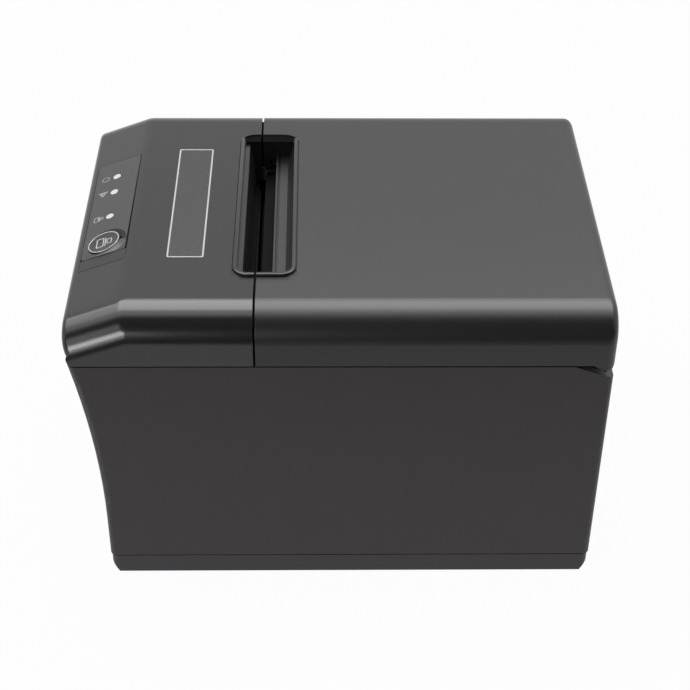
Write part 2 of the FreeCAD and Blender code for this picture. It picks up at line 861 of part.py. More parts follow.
# Paper cover: outer skin, cavity and the rear half of the paper slot
lip_drop = d.rear_lip_round * 0.64
lip_low_y = rear_axis_y + root(d.rear_lip_round * d.rear_lip_round - lip_drop * lip_drop)
lip_low_z = rear_axis_z - lip_drop
paper_low = lip_low_z - d.wall
paper_outer = across(
    "PaperCoverOuter",
    [
        (paper_cover_start, paper_low),
        (rear_y, paper_low),
        (rear_y, d.overall_height),
        (paper_cover_start, d.overall_height),
    ],
    d.overall_width,
)
round_edges(
    paper_outer,
    d.top_round,
    lambda edge: on_side(edge, half_width.value)
    and edge.ZMin > d.overall_height.value - EDGE_SLACK,
)
round_edges(
    paper_outer,
    d.rear_round,
    lambda edge: edge.YLength < EDGE_SLACK
    and abs(edge.YMin - rear_y.value) < EDGE_SLACK
    and edge.ZMax > paper_low.value + EDGE_SLACK,
)
paper_trim = across(
    "PaperCoverTrim",
    [
        (paper_cover_start - d.wall, cover_bottom),
        (paper_cover_start - d.wall, paper_low - d.wall),
        (rear_y + d.wall, paper_low - d.wall),
        (rear_y + d.wall, rear_axis_z),
        (rear_y, rear_axis_z, -d.rear_lip_round),
        (lip_low_y, lip_low_z),
        (rear_axis_y, lip_low_z),
        (rear_axis_y - d.rear_lip_round * 0.7, cover_bottom),
    ],
    d.overall_width + d.wall,
)
paper_inner = across(
    "PaperCoverInner",
    [
        (paper_cover_start + d.wall, paper_low - d.wall),
        (rear_y - d.wall, paper_low - d.wall),
        (rear_y - d.wall, top_inside),
        (paper_cover_start + d.wall, top_inside),
    ],
    inner_half * 2,
)
round_edges(
    paper_inner,
    d.top_round - d.wall,
    lambda edge: on_side(edge, inner_half.value) and edge.ZMin > top_inside.value - EDGE_SLACK,
)
paper_skin = cut("PaperCoverSkin", paper_outer, paper_inner, paper_trim)

slot_half = d.slot_length / 2
slot_front_y = seam_y - d.slot_front
slot_rear_y = seam_y + d.slot_rear
rim_floor = d.overall_height - d.slot_rim_depth
rim_sink = rounded_block(
    "RimSink",
    (-(slot_half + d.slot_rim * 1.4), slot_half + d.slot_rim * 1.4),
    (slot_front_y - d.slot_rim, slot_rear_y + d.slot_rim),
    (rim_floor, d.overall_height + d.wall),
    d.slot_rim_corner,
)
chute_floor = d.overall_height - d.slot_chute_depth
slot_hole = rounded_block(
    "SlotHole",
    (-slot_half, slot_half),
    (slot_front_y, slot_rear_y),
    (chute_floor - d.wall * 4, d.overall_height + d.wall),
    d.slot_rim_corner * 0.6,
)
tear_y = seam_y + 5.7
lip_top = d.overall_height - d.slot_lip_depth
ledge_top = d.overall_height - d.slot_ledge_depth
ledge_under = ledge_top - d.wall * 0.9
groove_floor = ledge_top - 0.9
slot_bed = prism(
    "SlotBed",
    "YZ_Plane",
    [
        (tear_y, ledge_under),
        (slot_rear_y + d.wall, ledge_under),
        (slot_rear_y + d.wall, top_inside + d.wall / 2),
        (slot_rear_y + d.part_clearance, top_inside + d.wall / 2),
        (slot_rear_y - 2.4, ledge_top),
        (tear_y + 1.6, ledge_top),
        (tear_y + 1.6, groove_floor),
        (tear_y + 0.8, groove_floor),
        (tear_y + 0.8, lip_top),
        (tear_y, lip_top),
    ],
    (-slot_half - d.slot_end_wall, slot_half + d.slot_end_wall),
)
paper_ends = []
for side, name in ((1, "Right"), (-1, "Left")):
    inside = side * slot_half
    outside = side * (slot_half + d.slot_end_wall)
    x = (inside, outside) if side > 0 else (outside, inside)
    paper_ends.append(
        box(
            f"PaperSlotEnd{name}",
            x,
            (paper_cover_start + d.wall / 2, slot_rear_y + d.wall),
            (ledge_under, top_inside + d.wall / 4),
        )
    )

# Bosses in the cover walls that hold the rear hinge pins, and notches that clear the arms
pin_bosses = []
arm_notches = []
for side, name in ((1, "Right"), (-1, "Left")):
    boss_in = side * (arm_out + d.part_clearance * 2)
    boss_out = side * (half_width - d.wall / 2)
    x = (boss_in, boss_out) if side > 0 else (boss_out, boss_in)
    pin_bosses.append(rod(f"PinBoss{name}", "x", rear_eye, x, (rear_axis_y, rear_axis_z)))
    clear_in = side * (d.hinge_arm_in - d.part_clearance * 2)
    clear_out = side * (arm_out + d.part_clearance * 2)
    x = (clear_in, clear_out) if side > 0 else (clear_out, clear_in)
    arm_notches.append(
        rod(f"ArmClear{name}", "x", rear_eye + d.part_clearance, x, (rear_axis_y, rear_axis_z))
    )
    arm_notches.append(
        box(
            f"ArmNotch{name}",
            x,
            (rear_axis_y - d.rear_lip_round * 2, rear_y + d.wall),
            (lip_low_z - d.wall, rear_axis_z - d.part_clearance * 3),
        )
    )
pin_seats = []
for side, name in ((1, "Right"), (-1, "Left")):
    seat_in = side * d.hinge_arm_in
    seat_out = side * (half_width - d.wall)
    x = (seat_in, seat_out) if side > 0 else (seat_out, seat_in)
    pin_seats.append(
        rod(f"PinSeat{name}", "x", d.hinge_pin_radius, x, (rear_axis_y, rear_axis_z))
    )
drive_notch = box(
    "DriveNotch",
    (-(frame_half + d.gear_width * 2.4), holder_half + d.part_clearance * 3),
    (paper_cover_start - d.wall, paper_cover_start + d.wall * 1.4),
    (paper_low - d.wall, fixed_top + d.wall * 0.6),
)
slot_opened = cut("PaperCoverOpened", paper_skin, slot_hole, drive_notch)
cover_whole = fuse("PaperCoverWhole", slot_opened, slot_bed, *paper_ends, *pin_bosses)
node("paper_cover", cut("PaperCover", cover_whole, rim_sink, *arm_notches, *pin_seats))

rear_pins = []
for side, name in ((1, "Right"), (-1, "Left")):
    pin_in = side * d.hinge_arm_in
    pin_out = side * (half_width - d.wall)
    x = (pin_in, pin_out) if side > 0 else (pin_out, pin_in)
    rear_pins.append(
        rod(f"RearPin{name}", "x", d.hinge_pin_radius, x, (rear_axis_y, rear_axis_z))
    )
node("cover_hinge_pins", group("CoverHingePins", *rear_pins))

# Front cover: outer skin with the slanted face, cavity and the front half of the slot
nose_bend = sweep_radius(d.nose_overhang, nose_z - d.nose_straight - front_axis_z)
front_outer = across(
    "FrontCoverOuter",
    [
        (front_cover_end, cover_bottom),
        (front_cover_end, d.overall_height),
        (break_y, d.overall_height),
        (front_y, nose_z),
        (front_y, nose_z - d.nose_straight, nose_bend),
        (lip_y, front_axis_z, d.front_lip_round),
        (front_axis_y, cover_bottom),
    ],
    d.overall_width,
)
round_edges(
    front_outer,
    d.break_round,
    lambda edge: edge.XLength > d.wall.value
    and abs(edge.YMin - break_y.value) < EDGE_SLACK
    and edge.YLength < EDGE_SLACK
    and edge.ZMin > nose_z.value,
)
round_edges(
    front_outer,
    d.top_round,
    lambda edge: on_side(edge, half_width.value) and edge.ZMin > nose_z.value - EDGE_SLACK,
)
round_edges(
    front_outer,
    d.edge_round,
    lambda edge: edge.YMax < front_y.value + EDGE_SLACK
    and (edge.ZMax > nose_z.value - d.nose_straight.value + EDGE_SLACK),
)
inner_break = break_y + d.wall * (1 / cosine(d.slant_angle) - 1) / slant_rise
inner_front = lip_y + d.wall
inner_nose_z = top_inside - (inner_break - inner_front) * slant_rise
front_inner = across(
    "FrontCoverInner",
    [
        (front_cover_end - d.wall, cover_bottom - d.wall),
        (front_cover_end - d.wall, top_inside),
        (inner_break, top_inside),
        (inner_front, inner_nose_z),
        (inner_front, cover_bottom - d.wall),
    ],
    inner_half * 2,
)
round_edges(
    front_inner,
    d.top_round - d.wall,
    lambda edge: on_side(edge, inner_half.value) and edge.ZMin > inner_nose_z.value - EDGE_SLACK,
)
front_skin = cut("FrontCoverSkin", front_outer, front_inner)
chute_in_y = seam_y - 2.7
chute = prism(
    "FrontChute",
    "YZ_Plane",
    [
        (slot_front_y - d.wall, top_inside + d.wall / 2),
        (slot_front_y - d.wall, d.overall_height - 5.0),
        (chute_in_y - 2.0, chute_floor),
        (chute_in_y, chute_floor),
        (chute_in_y, d.overall_height - 9.5),
        (chute_in_y - 1.3, d.overall_height - 4.5),
        (slot_front_y - d.part_clearance, top_inside + d.wall / 2),
    ],
    (-slot_half - d.slot_end_wall, slot_half + d.slot_end_wall),
)
front_ends = []
for side, name in ((1, "Right"), (-1, "Left")):
    inside = side * slot_half
    outside = side * (slot_half + d.slot_end_wall)
    x = (inside, outside) if side > 0 else (outside, inside)
    front_ends.append(
        box(
            f"FrontSlotEnd{name}",
            x,
            (slot_front_y - d.wall, front_cover_end - d.wall / 2),
            (chute_floor, top_inside + d.wall / 4),
        )
    )

# Panel recess, backing plate and holes, drawn flat and set onto the slant
panel_front = -(d.panel_from_break + d.panel_width)
panel_rear = -d.panel_from_break
panel_low_x = d.panel_middle_x - d.panel_length / 2
panel_high_x = d.panel_middle_x + d.panel_length / 2
plate_high_x = panel_low_x + d.panel_plate_length
backing = on_slant(
    group(
        "PanelBacking",
        box(
            "PanelBackingBlock",
            (panel_low_x - d.wall, panel_high_x + d.wall),
            (panel_front - d.wall / 2, panel_rear + d.wall / 2),
            (-(d.wall + d.panel_backing), -d.wall / 2),
        ),
    )
)
recess = on_slant(
    group(
        "PanelRecess",
        rounded_block(
            "PanelRecessBlock",
            (panel_low_x, panel_high_x),
            (panel_front, panel_rear),
            (-d.panel_recess, d.wall),
            d.panel_corner,
        ),
    )
)
# A ramp leads from the near end of the plate up to the slanted face
ramp_low_x = plate_high_x + d.part_clearance
ramp_body = across(
    "PanelRampBody",
    [
        (ramp_low_x, -d.wall),
        (panel_high_x, -d.wall),
        (panel_high_x, as_size(0)),
        (ramp_low_x, -d.ramp_start),
    ],
    d.panel_width,
)
ramp_body.Placement = Placement(Vector(), Rotation(Vector(0, 0, 1), -90))
put(ramp_body, 0, (panel_front + panel_rear) / 2, 0)
ramp = on_slant(group("PanelRamp", ramp_body))
lens_xs = (d.lens_one_x, d.lens_two_x, d.lens_three_x)
backing_under = -(d.wall + d.panel_backing)


def panel_bores(name, clearance):
    """The holes for the button and the three lenses."""
    bores = [
        rod(
            f"{name}Button",
            "z",
            d.button_radius + d.part_clearance,
            (backing_under - d.wall * 2, d.wall),
            (d.button_x, -d.button_down),
        )
    ]
    for index, x in enumerate(lens_xs):
        bores.append(
            rod(
                f"{name}Lens{index}",
                "z",
                d.lens_radius + clearance,
                (backing_under - d.wall, d.wall),
                (x, -d.lens_down),
            )
        )
    return bores


cover_bores = on_slant(group("CoverBores", *panel_bores("CoverBore", d.running_clearance)))
front_pockets = []
front_bosses = []
front_seats = []
for side, name in ((1, "Right"), (-1, "Left")):
    clear_in = side * (d.hinge_arm_in - d.part_clearance * 2)
    clear_out = side * (arm_out + d.part_clearance * 2)
    x = (clear_in, clear_out) if side > 0 else (clear_out, clear_in)
    front_pockets.append(
        rod(f"FrontPocket{name}", "x", front_eye + d.part_clearance, x, (front_axis_y, front_axis_z))
    )
    boss_in = side * (arm_out + d.part_clearance * 2)
    boss_out = side * (half_width - d.wall / 2)
    x = (boss_in, boss_out) if side > 0 else (boss_out, boss_in)
    front_bosses.append(rod(f"FrontBoss{name}", "x", front_eye, x, (front_axis_y, front_axis_z)))
    seat_in = side * d.hinge_arm_in
    seat_out = side * (half_width - d.wall)
    x = (seat_in, seat_out) if side > 0 else (seat_out, seat_in)
    front_seats.append(rod(f"FrontSeat{name}", "x", d.front_pin_radius, x, (front_axis_y, front_axis_z)))
front_opened = cut("FrontCoverOpened", front_skin, slot_hole)
front_whole = fuse("FrontCoverWhole", front_opened, chute, backing, *front_ends, *front_bosses)
front_cut = cut(
    "FrontCoverCut", front_whole, rim_sink, recess, cover_bores, *front_pockets, *front_seats
)
node("front_cover", fuse("FrontCover", front_cut, ramp))

front_pins = []
for side, name in ((1, "Right"), (-1, "Left")):
    pin_in = side * d.hinge_arm_in
    pin_out = side * (half_width - d.wall)
    x = (pin_in, pin_out) if side > 0 else (pin_out, pin_in)
    front_pins.append(rod(f"FrontPin{name}", "x", d.front_pin_radius, x, (front_axis_y, front_axis_z)))
node("front_hinge_pins", group("FrontHingePins", *front_pins))

# Control panel plate in the recess, its lenses, its board and the feed button
plate_gap = 0.2
plate_block = rounded_block(
    "PlateBlock",
    (panel_low_x + plate_gap, plate_high_x),
    (panel_front + plate_gap, panel_rear - plate_gap),
    (-d.panel_recess, as_size(0)),
    d.panel_corner - plate_gap,
)
plate_bores = panel_bores("PlateBore", d.running_clearance)
dish = doc.addObject("Part::Cone", "ButtonDish")
dish.setExpression("Radius1", (d.button_radius + d.part_clearance).formula)
dish.setExpression("Radius2", d.dish_radius.formula)
dish.setExpression("Height", d.dish_depth.formula)
put(dish, d.button_x, -d.button_down, -d.dish_depth)
node("panel_plate", on_slant(cut("PanelPlate", plate_block, dish, *plate_bores)))

lenses = []
for index, x in enumerate(lens_xs):
    lenses.append(
        fuse(
            f"Lens{index}",
            rod(f"LensPipe{index}", "z", d.lens_radius, (backing_under - 2.6, 0.15), (x, -d.lens_down)),
            rod(
                f"LensFlange{index}",
                "z",
                d.lens_radius + 0.8,
                (backing_under - 0.8, backing_under),
                (x, -d.lens_down),
            ),
        )
    )
node("indicator_lenses", on_slant(group("IndicatorLenses", *lenses)))

flange_top = backing_under - 0.1
flange_low = flange_top - 0.8
stem_low = flange_low - 0.7
button_cap = rod(
    "ButtonCap", "z", d.button_radius, (flange_low, d.button_rise), (d.button_x, -d.button_down)
)
button_flange = rod(
    "ButtonFlange", "z", d.button_radius + 1.2, (flange_low, flange_top), (d.button_x, -d.button_down)
)
button_stem = rod("ButtonStem", "z", 1.8, (stem_low, flange_low), (d.button_x, -d.button_down))
node("feed_button", on_slant(fuse("FeedButton", button_cap, button_flange, button_stem)))

plunger_top = stem_low - d.button_travel - 0.1
switch_top = plunger_top - 0.7
panel_board_top = switch_top - 3.0
switch_half = 3.0
feed_switch = fuse(
    "FeedSwitch",
    box(
        "SwitchBody",
        (d.button_x - switch_half, d.button_x + switch_half),
        (-d.button_down - switch_half, -d.button_down + switch_half),
        (panel_board_top, switch_top),
    ),
    rod("SwitchPlunger", "z", 1.6, (switch_top - 0.5, plunger_top), (d.button_x, -d.button_down)),
)
node("feed_switch", on_slant(feed_switch))
panel_board = box(
    "PanelBoardSheet",
    (panel_low_x + 2.0, panel_high_x - 2.5),
    (panel_front + 1.5, panel_rear - 2.0),
    (panel_board_top - d.board_thick, panel_board_top),
)
board_studs = []
for index, (x, y) in enumerate(
    (x, y)
    for x in (panel_low_x + 4.5, panel_high_x - 5.0)
    for y in (panel_front + 4.0, panel_rear - 4.5)
):
    board_studs.append(
        rod(f"PanelStud{index}", "z", 1.6, (panel_board_top, backing_under), (x, y))
    )
lamps = []
for index, x in enumerate(lens_xs):
    lamps.append(
        box(
            f"Lamp{index}",
            (x - 1.2, x + 1.2),
            (-d.lens_down - 0.8, -d.lens_down + 0.8),
            (panel_board_top - 0.2, backing_under - 2.8),
        )
    )
node("panel_board", on_slant(fuse("PanelBoard", panel_board, *lamps)))
node("panel_studs", on_slant(group("PanelStuds", *board_studs)))

# Print mechanism frame: two side plates joined by a floor, a spring wall and top flanges
notch_half = d.bush_radius + d.part_clearance / 2
notch_top = platen_z + 4.5
side_outline = [
    (frame_front_y, frame_floor),
    (frame_rear_y, frame_floor),
    (frame_rear_y, platen_z - 10.0),
    (platen_y + 8.5, notch_top),
    (platen_y + notch_half, notch_top),
    (platen_y + notch_half, platen_z, -notch_half),
    (platen_y, platen_z - notch_half, -notch_half),
    (platen_y - notch_half, platen_z),
    (platen_y - notch_half, notch_top),
    (platen_y - 8.5, notch_top),
    (platen_y - 12.0, cutter_level),
    (frame_front_y, cutter_level),
]
plates = []
for side, name in ((1, "Right"), (-1, "Left")):
    x = (frame_inner, frame_half) if side > 0 else (-frame_half, -frame_inner)
    plates.append(prism(f"SidePlate{name}", "YZ_Plane", side_outline, x))
    flange_in = side * (frame_half - 6.0)
    x = (flange_in, side * frame_inner) if side > 0 else (side * frame_inner, flange_in)
    plates.append(
        box(
            f"TopFlange{name}",
            x,
            (frame_front_y, platen_y - 20.0),
            (cutter_level - d.frame_sheet, cutter_level),
        )
    )
head_face = platen_y - d.platen_radius - d.head_gap
sink_face = head_face - d.head_thick
sink_back = sink_face - d.sink_thick
spring_wall = sink_back - d.spring_space
plates.append(
    box(
        "FrameFloor",
        (-frame_inner, frame_inner),
        (frame_front_y, frame_rear_y),
        (frame_floor, frame_floor + d.frame_sheet),
    )
)
plates.append(
    box(
        "SpringWall",
        (-frame_inner, frame_inner),
        (spring_wall - d.frame_sheet, spring_wall),
        (sink_bottom, cutter_level - d.frame_sheet),
    )
)
pivot_y = (sink_face + sink_back) / 2
pivot_z = sink_bottom + d.pivot_radius * 2

# Gear centres on the left side of the frame
platen_pitch = d.gear_module * d.platen_teeth / 2
small_pitch = d.gear_module * d.small_teeth / 2
large_pitch = d.gear_module * d.large_teeth / 2
pinion_pitch = d.gear_module * d.pinion_teeth / 2
train_y = platen_y
train_z = platen_z - platen_pitch - small_pitch
pinion_angle = 240.0
pinion_reach = large_pitch + pinion_pitch
pinion_y = train_y + pinion_reach * math.cos(math.radians(pinion_angle))
pinion_z = train_z + pinion_reach * math.sin(math.radians(pinion_angle))
gear_gap = 1.0
near_right = -(frame_half + gear_gap * 3)
near_left = near_right - d.gear_width
far_right = near_left - gear_gap
far_left = far_right - d.gear_width * 0.75
stud_end = far_left - gear_gap * 0.5
gear_stud = rod("GearStud", "x", d.stud_radius, (stud_end, -frame_inner), (train_y, train_z))
motor_hole = rod(
    "MotorHole",
    "x",
    d.motor_shaft_radius + 1.5,
    (-(frame_half + 1.0), -(frame_inner - 1.0)),
    (pinion_y, pinion_z),
)
pivot_holes = rod("PivotHoles", "x", d.pivot_radius, (-frame_half - 1, frame_half + 1), (pivot_y, pivot_z))
frame_blank = cut("FrameBlank", fuse("FrameSheets", *plates), motor_hole, pivot_holes)
node("mech_frame", fuse("MechFrame", frame_blank, gear_stud))

# Print head on its pivot rod, with the springs behind it
node(
    "head_pivot",
    rod("HeadPivot", "x", d.pivot_radius, (-frame_half - 0.8, frame_half + 0.8), (pivot_y, pivot_z)),
)
sink_half = d.sink_length / 2
sink_block = box(
    "SinkBlock",
    (-sink_half, sink_half),
    (sink_back, sink_face),
    (sink_bottom, sink_bottom + d.sink_height),
)
sink_bore = rod(
    "SinkBore",
    "x",
    d.pivot_radius + d.running_clearance,
    (-sink_half - 1, sink_half + 1),
    (pivot_y, pivot_z),
)
node("head_sink", cut("HeadSink", sink_block, sink_bore))
head_strip = box(
    "HeadStrip",
    (-sink_half + 2, sink_half - 2),
    (sink_face, head_face),
    (platen_z - 10.0, platen_z + 7.0),
)
node("thermal_head", head_strip)
spring_z = platen_z + 1.0
spring_turns = 4
springs = []
for index, step in enumerate((-1, 0, 1)):
    coil = doc.addObject("Part::Helix", f"SpringLine{index}")
    coil.setExpression("Radius", (d.spring_radius - d.spring_wire).formula)
    coil.setExpression("Pitch", ((d.spring_space - d.spring_wire * 2.4) / spring_turns).formula)
    coil.setExpression("Height", (d.spring_space - d.spring_wire * 2.4).formula)
    wire = doc.addObject("Part::RegularPolygon", f"SpringWire{index}")
    wire.Polygon = 6
    wire.Placement = Placement(Vector(), Rotation(Vector(1, 0, 0), 90))
    wire.setExpression("Circumradius", d.spring_wire.formula)
    wire.setExpression("Placement.Base.x", (d.spring_radius - d.spring_wire).formula)
    sweep = doc.addObject("Part::Sweep", f"Spring{index}")
    sweep.Sections = [wire]
    sweep.Spine = (coil, [])
    sweep.Solid = True
    sweep.Frenet = True
    sweep.Placement = Placement(Vector(), TURN_TO["y"])
    put(sweep, d.spring_pitch_x * step, spring_wall + d.spring_wire * 1.2, spring_z)
    springs.append(sweep)
node("head_springs", group("HeadSprings", *springs))

# Feed motor, its pinion and the reduction gear
motor_right = -frame_inner + d.feed_motor_length
motor_can = rod(
    "FeedMotorCan", "x", d.feed_motor_radius, (-frame_inner, motor_right), (pinion_y, pinion_z)
)
motor_shaft = rod(
    "FeedMotorShaft", "x", d.motor_shaft_radius, (far_left, -frame_inner + 1), (pinion_y, pinion_z)
)
node("feed_motor", fuse("FeedMotor", motor_can, motor_shaft))
shaft_bore = d.motor_shaft_radius + d.running_clearance
pinion = gear("MotorPinion", d.pinion_teeth, d.gear_width * 0.75, shaft_bore, far_left)
turn_gear(pinion, "x", pinion_y, pinion_z, pinion_angle - 180 + 180 / d.pinion_teeth.value)
node("motor_pinion", pinion)
stud_bore = d.stud_radius + d.running_clearance
small_gear = gear("SmallGear", d.small_teeth, d.gear_width + gear_gap, stud_bore, near_left - gear_gap)
turn_gear(small_gear, "x", train_y, train_z, 90 + 180 / d.small_teeth.value)
large_gear = gear("LargeGear", d.large_teeth, d.gear_width * 0.75, stud_bore, far_left)
turn_gear(large_gear, "x", train_y, train_z, pinion_angle)
node("reduction_gear", fuse("ReductionGear", small_gear, large_gear))

# Platen: shaft, rubber and gear, with a bush at each side plate
platen_half = d.platen_length / 2
platen_gear_body = gear("PlatenGearBody", d.platen_teeth, d.gear_width, d.shaft_radius, near_left)
turn_gear(platen_gear_body, "x", platen_y, platen_z, -90)
node("platen_gear", platen_gear_body)
node(
    "platen_shaft",
    rod(
        "PlatenShaft", "x", d.shaft_radius, (near_left, frame_half + 3.0), (platen_y, platen_z)
    ),
)
rubber = cut(
    "PlatenRubber",
    rod("RubberOuter", "x", d.platen_radius, (-platen_half, platen_half), (platen_y, platen_z)),
    rod("RubberBore", "x", d.shaft_radius, (-platen_half - 1, platen_half + 1), (platen_y, platen_z)),
)
node("platen_rubber", rubber)
bushes = []
for side, name in ((1, "Right"), (-1, "Left")):
    inside = side * (frame_inner - 1.5)
    outside = side * (frame_half + 1.5)
    x = (inside, outside) if side > 0 else (outside, inside)
    bushes.append(
        cut(
            f"Bush{name}",
            rod(f"BushBody{name}", "x", d.bush_radius, x, (platen_y, platen_z)),
            rod(
                f"BushBore{name}",
                "x",
                d.shaft_radius + d.running_clearance,
                (x[0] - 1, x[1] + 1),
                (platen_y, platen_z),
            ),
        )
    )
node("platen_bushes", group("PlatenBushes", *bushes))

# Platen holder under the cover: a block that carries the fixed blade, and two arms
holder_top = ledge_under
holder_front = tear_y + 0.5
holder_rear = holder_front + 15.0
arm_low_x = d.fixed_blade_half + 1.0
holder_arms = []
for side, name in ((1, "Right"), (-1, "Left")):
    inside = side * arm_low_x
    outside = side * holder_half
    x = (inside, outside) if side > 0 else (outside, inside)
    holder_arms.append(
        box(
            f"HolderArm{name}",
            x,
            (platen_y - 4.5, platen_y + 6.0),
            (platen_z, fixed_top + 1.0),
        )
    )
    holder_arms.append(
        rod(f"HolderEye{name}", "x", as_size(4.5), x, (platen_y, platen_z))
    )
holder_block = box(
    "HolderBlock", (-holder_half, holder_half), (holder_front, holder_rear), (fixed_top, holder_top)
)
holder_bore = rod(
    "HolderBore",
    "x",
    d.shaft_radius + d.running_clearance,
    (-holder_half - 1, holder_half + 1),
    (platen_y, platen_z),
)
node(
    "platen_holder",
    cut("PlatenHolder", fuse("HolderWhole", holder_block, *holder_arms), holder_bore),
)
node(
    "fixed_blade",
    box(
        "FixedBlade",
        (-d.fixed_blade_half, d.fixed_blade_half),
        (seam_y + 1.3, holder_rear - 3.0),
        (fixed_low, fixed_top),
    ),
)

# Cutter base with guide pads, its gear stud and motor
cutter_half = frame_inner
cutter_plate_top = cutter_level + d.cutter_plate
pad_top = cutter_plate_top + d.cutter_pad
cutter_end = head_face - 7.0
cutter_sheet = box(
    "CutterSheet",
    (-cutter_half, cutter_half),
    (frame_front_y, cutter_end),
    (cutter_level, cutter_plate_top),
)
guides = []
pad_front = cutter_end - d.blade_depth
for side, name in ((1, "Right"), (-1, "Left")):
    inside = side * (d.blade_half_width - 10.0)
    outside = side * (d.blade_half_width + 4.0)
    x = (inside, outside) if side > 0 else (outside, inside)
    guides.append(
        box(f"GuidePad{name}", x, (pad_front, cutter_end), (cutter_plate_top - 0.5, pad_top))
    )
    inside = side * (d.blade_half_width + 0.3)
    x = (inside, outside) if side > 0 else (outside, inside)
    guides.append(
        box(f"GuideRail{name}", x, (pad_front, cutter_end), (pad_top - 0.5, pad_top + 2.0))
    )
rack_pitch_x = as_size(12.0)
rack_gear_pitch = d.gear_module * d.rack_pinion_teeth / 2
reset_pitch = d.gear_module * d.reset_teeth / 2
reset_x = rack_pitch_x + rack_gear_pitch
rack_low = blade_high
rack_high = rack_low + 3.4
reset_low = rack_high + 0.4
reset_high = reset_low + 3.0
reset_stud = rod(
    "ResetStud", "z", d.stud_radius, (cutter_level, reset_high + 0.6), (reset_x, cutter_gear_y)
)
reset_seat = rod(
    "ResetSeat", "z", d.stud_radius + 2.0, (cutter_level, rack_low), (reset_x, cutter_gear_y)
)
cutter_motor_x = reset_x + reset_pitch + pinion_pitch
cutter_motor_hole = rod(
    "CutterMotorHole",
    "z",
    d.motor_shaft_radius + 1.5,
    (cutter_level - 1, cutter_plate_top + 1),
    (cutter_motor_x, cutter_gear_y),
)
tail_pad = box(
    "TailPad",
    (-6.0, 6.0),
    (frame_front_y + 4.0, frame_front_y + 20.0),
    (cutter_plate_top - 0.5, pad_top),
)
cutter_blank = cut("CutterBlank", cutter_sheet, cutter_motor_hole)
node("cutter_base", fuse("CutterBase", cutter_blank, *guides, tail_pad, reset_stud, reset_seat))
cutter_can = rod(
    "CutterMotorCan",
    "z",
    d.cutter_motor_radius,
    (cutter_level - d.cutter_motor_length, cutter_level),
    (cutter_motor_x, cutter_gear_y),
)
cutter_shaft = rod(
    "CutterMotorShaft",
    "z",
    d.motor_shaft_radius,
    (cutter_level - 1, reset_high),
    (cutter_motor_x, cutter_gear_y),
)
node("cutter_motor", fuse("CutterMotor", cutter_can, cutter_shaft))
cutter_pinion = gear(
    "CutterPinion", d.pinion_teeth, reset_high - reset_low, shaft_bore, reset_low, along="z"
)
turn_gear(cutter_pinion, "z", cutter_motor_x, cutter_gear_y, 180 + 180 / d.pinion_teeth.value)
node("cutter_pinion", cutter_pinion)
rack_pinion = gear(
    "RackPinion", d.rack_pinion_teeth, reset_low - rack_low, stud_bore, rack_low, along="z"
)
turn_gear(rack_pinion, "z", reset_x, cutter_gear_y, 180)
reset_wheel = gear("ResetWheel", d.reset_teeth, reset_high - reset_low, stud_bore, reset_low, along="z")
turn_gear(reset_wheel, "z", reset_x, cutter_gear_y, 0)
node("reset_gear", fuse("ResetGear", rack_pinion, reset_wheel))

# Moving blade with a swept edge and a tail, and the rack on the tail
blade_edge_y = seam_y - d.blade_rest_gap
blade_back_y = blade_edge_y - d.blade_depth
tail_half = 8.0
tail_end_y = blade_back_y - d.blade_tail_length
blade = prism(
    "MovingBlade",
    "XY_Plane",
    [
        (-d.blade_half_width, blade_back_y),
        (-tail_half, blade_back_y),
        (-tail_half, tail_end_y),
        (tail_half, tail_end_y),
        (tail_half, blade_back_y),
        (d.blade_half_width, blade_back_y),
        (d.blade_half_width, blade_edge_y),
        (as_size(0), blade_edge_y - d.blade_edge_slope),
        (-d.blade_half_width, blade_edge_y),
    ],
    (blade_low, blade_high),
)
node("moving_blade", blade)
rack_root_x = rack_pitch_x - d.gear_module * 1.35
rack_tip_x = rack_pitch_x + d.gear_module * 0.9
rack_step = d.gear_module * math.pi
rack_count = 7
rack_line = [(as_size(-3.0), cutter_gear_y - rack_step * (rack_count / 2))]
root_half = (d.gear_module * (math.pi / 4 + 1.35 * math.tan(math.radians(20)))) - d.gear_backlash / 2
tip_half = (d.gear_module * (math.pi / 4 - 0.9 * math.tan(math.radians(20)))) - d.gear_backlash / 2
rack_line.append((rack_root_x, cutter_gear_y - rack_step * (rack_count / 2)))
for index in range(rack_count):
    middle = cutter_gear_y + rack_step * (index - (rack_count - 1) / 2 - 2.5)
    rack_line += [
        (rack_root_x, middle - root_half),
        (rack_tip_x, middle - tip_half),
        (rack_tip_x, middle + tip_half),
        (rack_root_x, middle + root_half),
    ]
rack_first = rack_line[2][1] - 0.6
rack_last = rack_line[-1][1] + 0.6
rack_line[0] = (as_size(-3.0), rack_first)
rack_line[1] = (rack_root_x, rack_first)
rack_line += [(rack_root_x, rack_last), (as_size(-3.0), rack_last)]
node("blade_rack", prism("BladeRack", "XY_Plane", rack_line, (rack_low, rack_high)))

# Main board, its parts and its screws
board_sheet = box(
    "BoardSheet",
    (-d.board_half_width, d.board_half_width),
    (board_front, board_rear),
    (d.board_height, board_top),
)
node("main_board", board_sheet)
CHIPS = (
    ("Processor", -14.0, 26.0, 14.0, 14.0, 1.6),
    ("Memory", 14.0, 24.0, 12.0, 8.0, 1.4),
    ("Driver", -40.0, 34.0, 10.0, 16.0, 2.0),
    ("PowerChip", 38.0, 40.0, 12.0, 12.0, 3.0),
    ("HeadHeader", -10.0, 10.5, 40.0, 5.0, 5.0),
    ("MotorHeader", 34.0, 10.5, 16.0, 5.0, 6.0),
)
chips = []
for name, x, y, length, depth, height in CHIPS:
    chips.append(
        box(
            f"Chip{name}",
            (as_size(x - length / 2), as_size(x + length / 2)),
            (board_front + (y - 5.0 - depth / 2), board_front + (y - 5.0 + depth / 2)),
            (board_top, board_top + height),
        )
    )
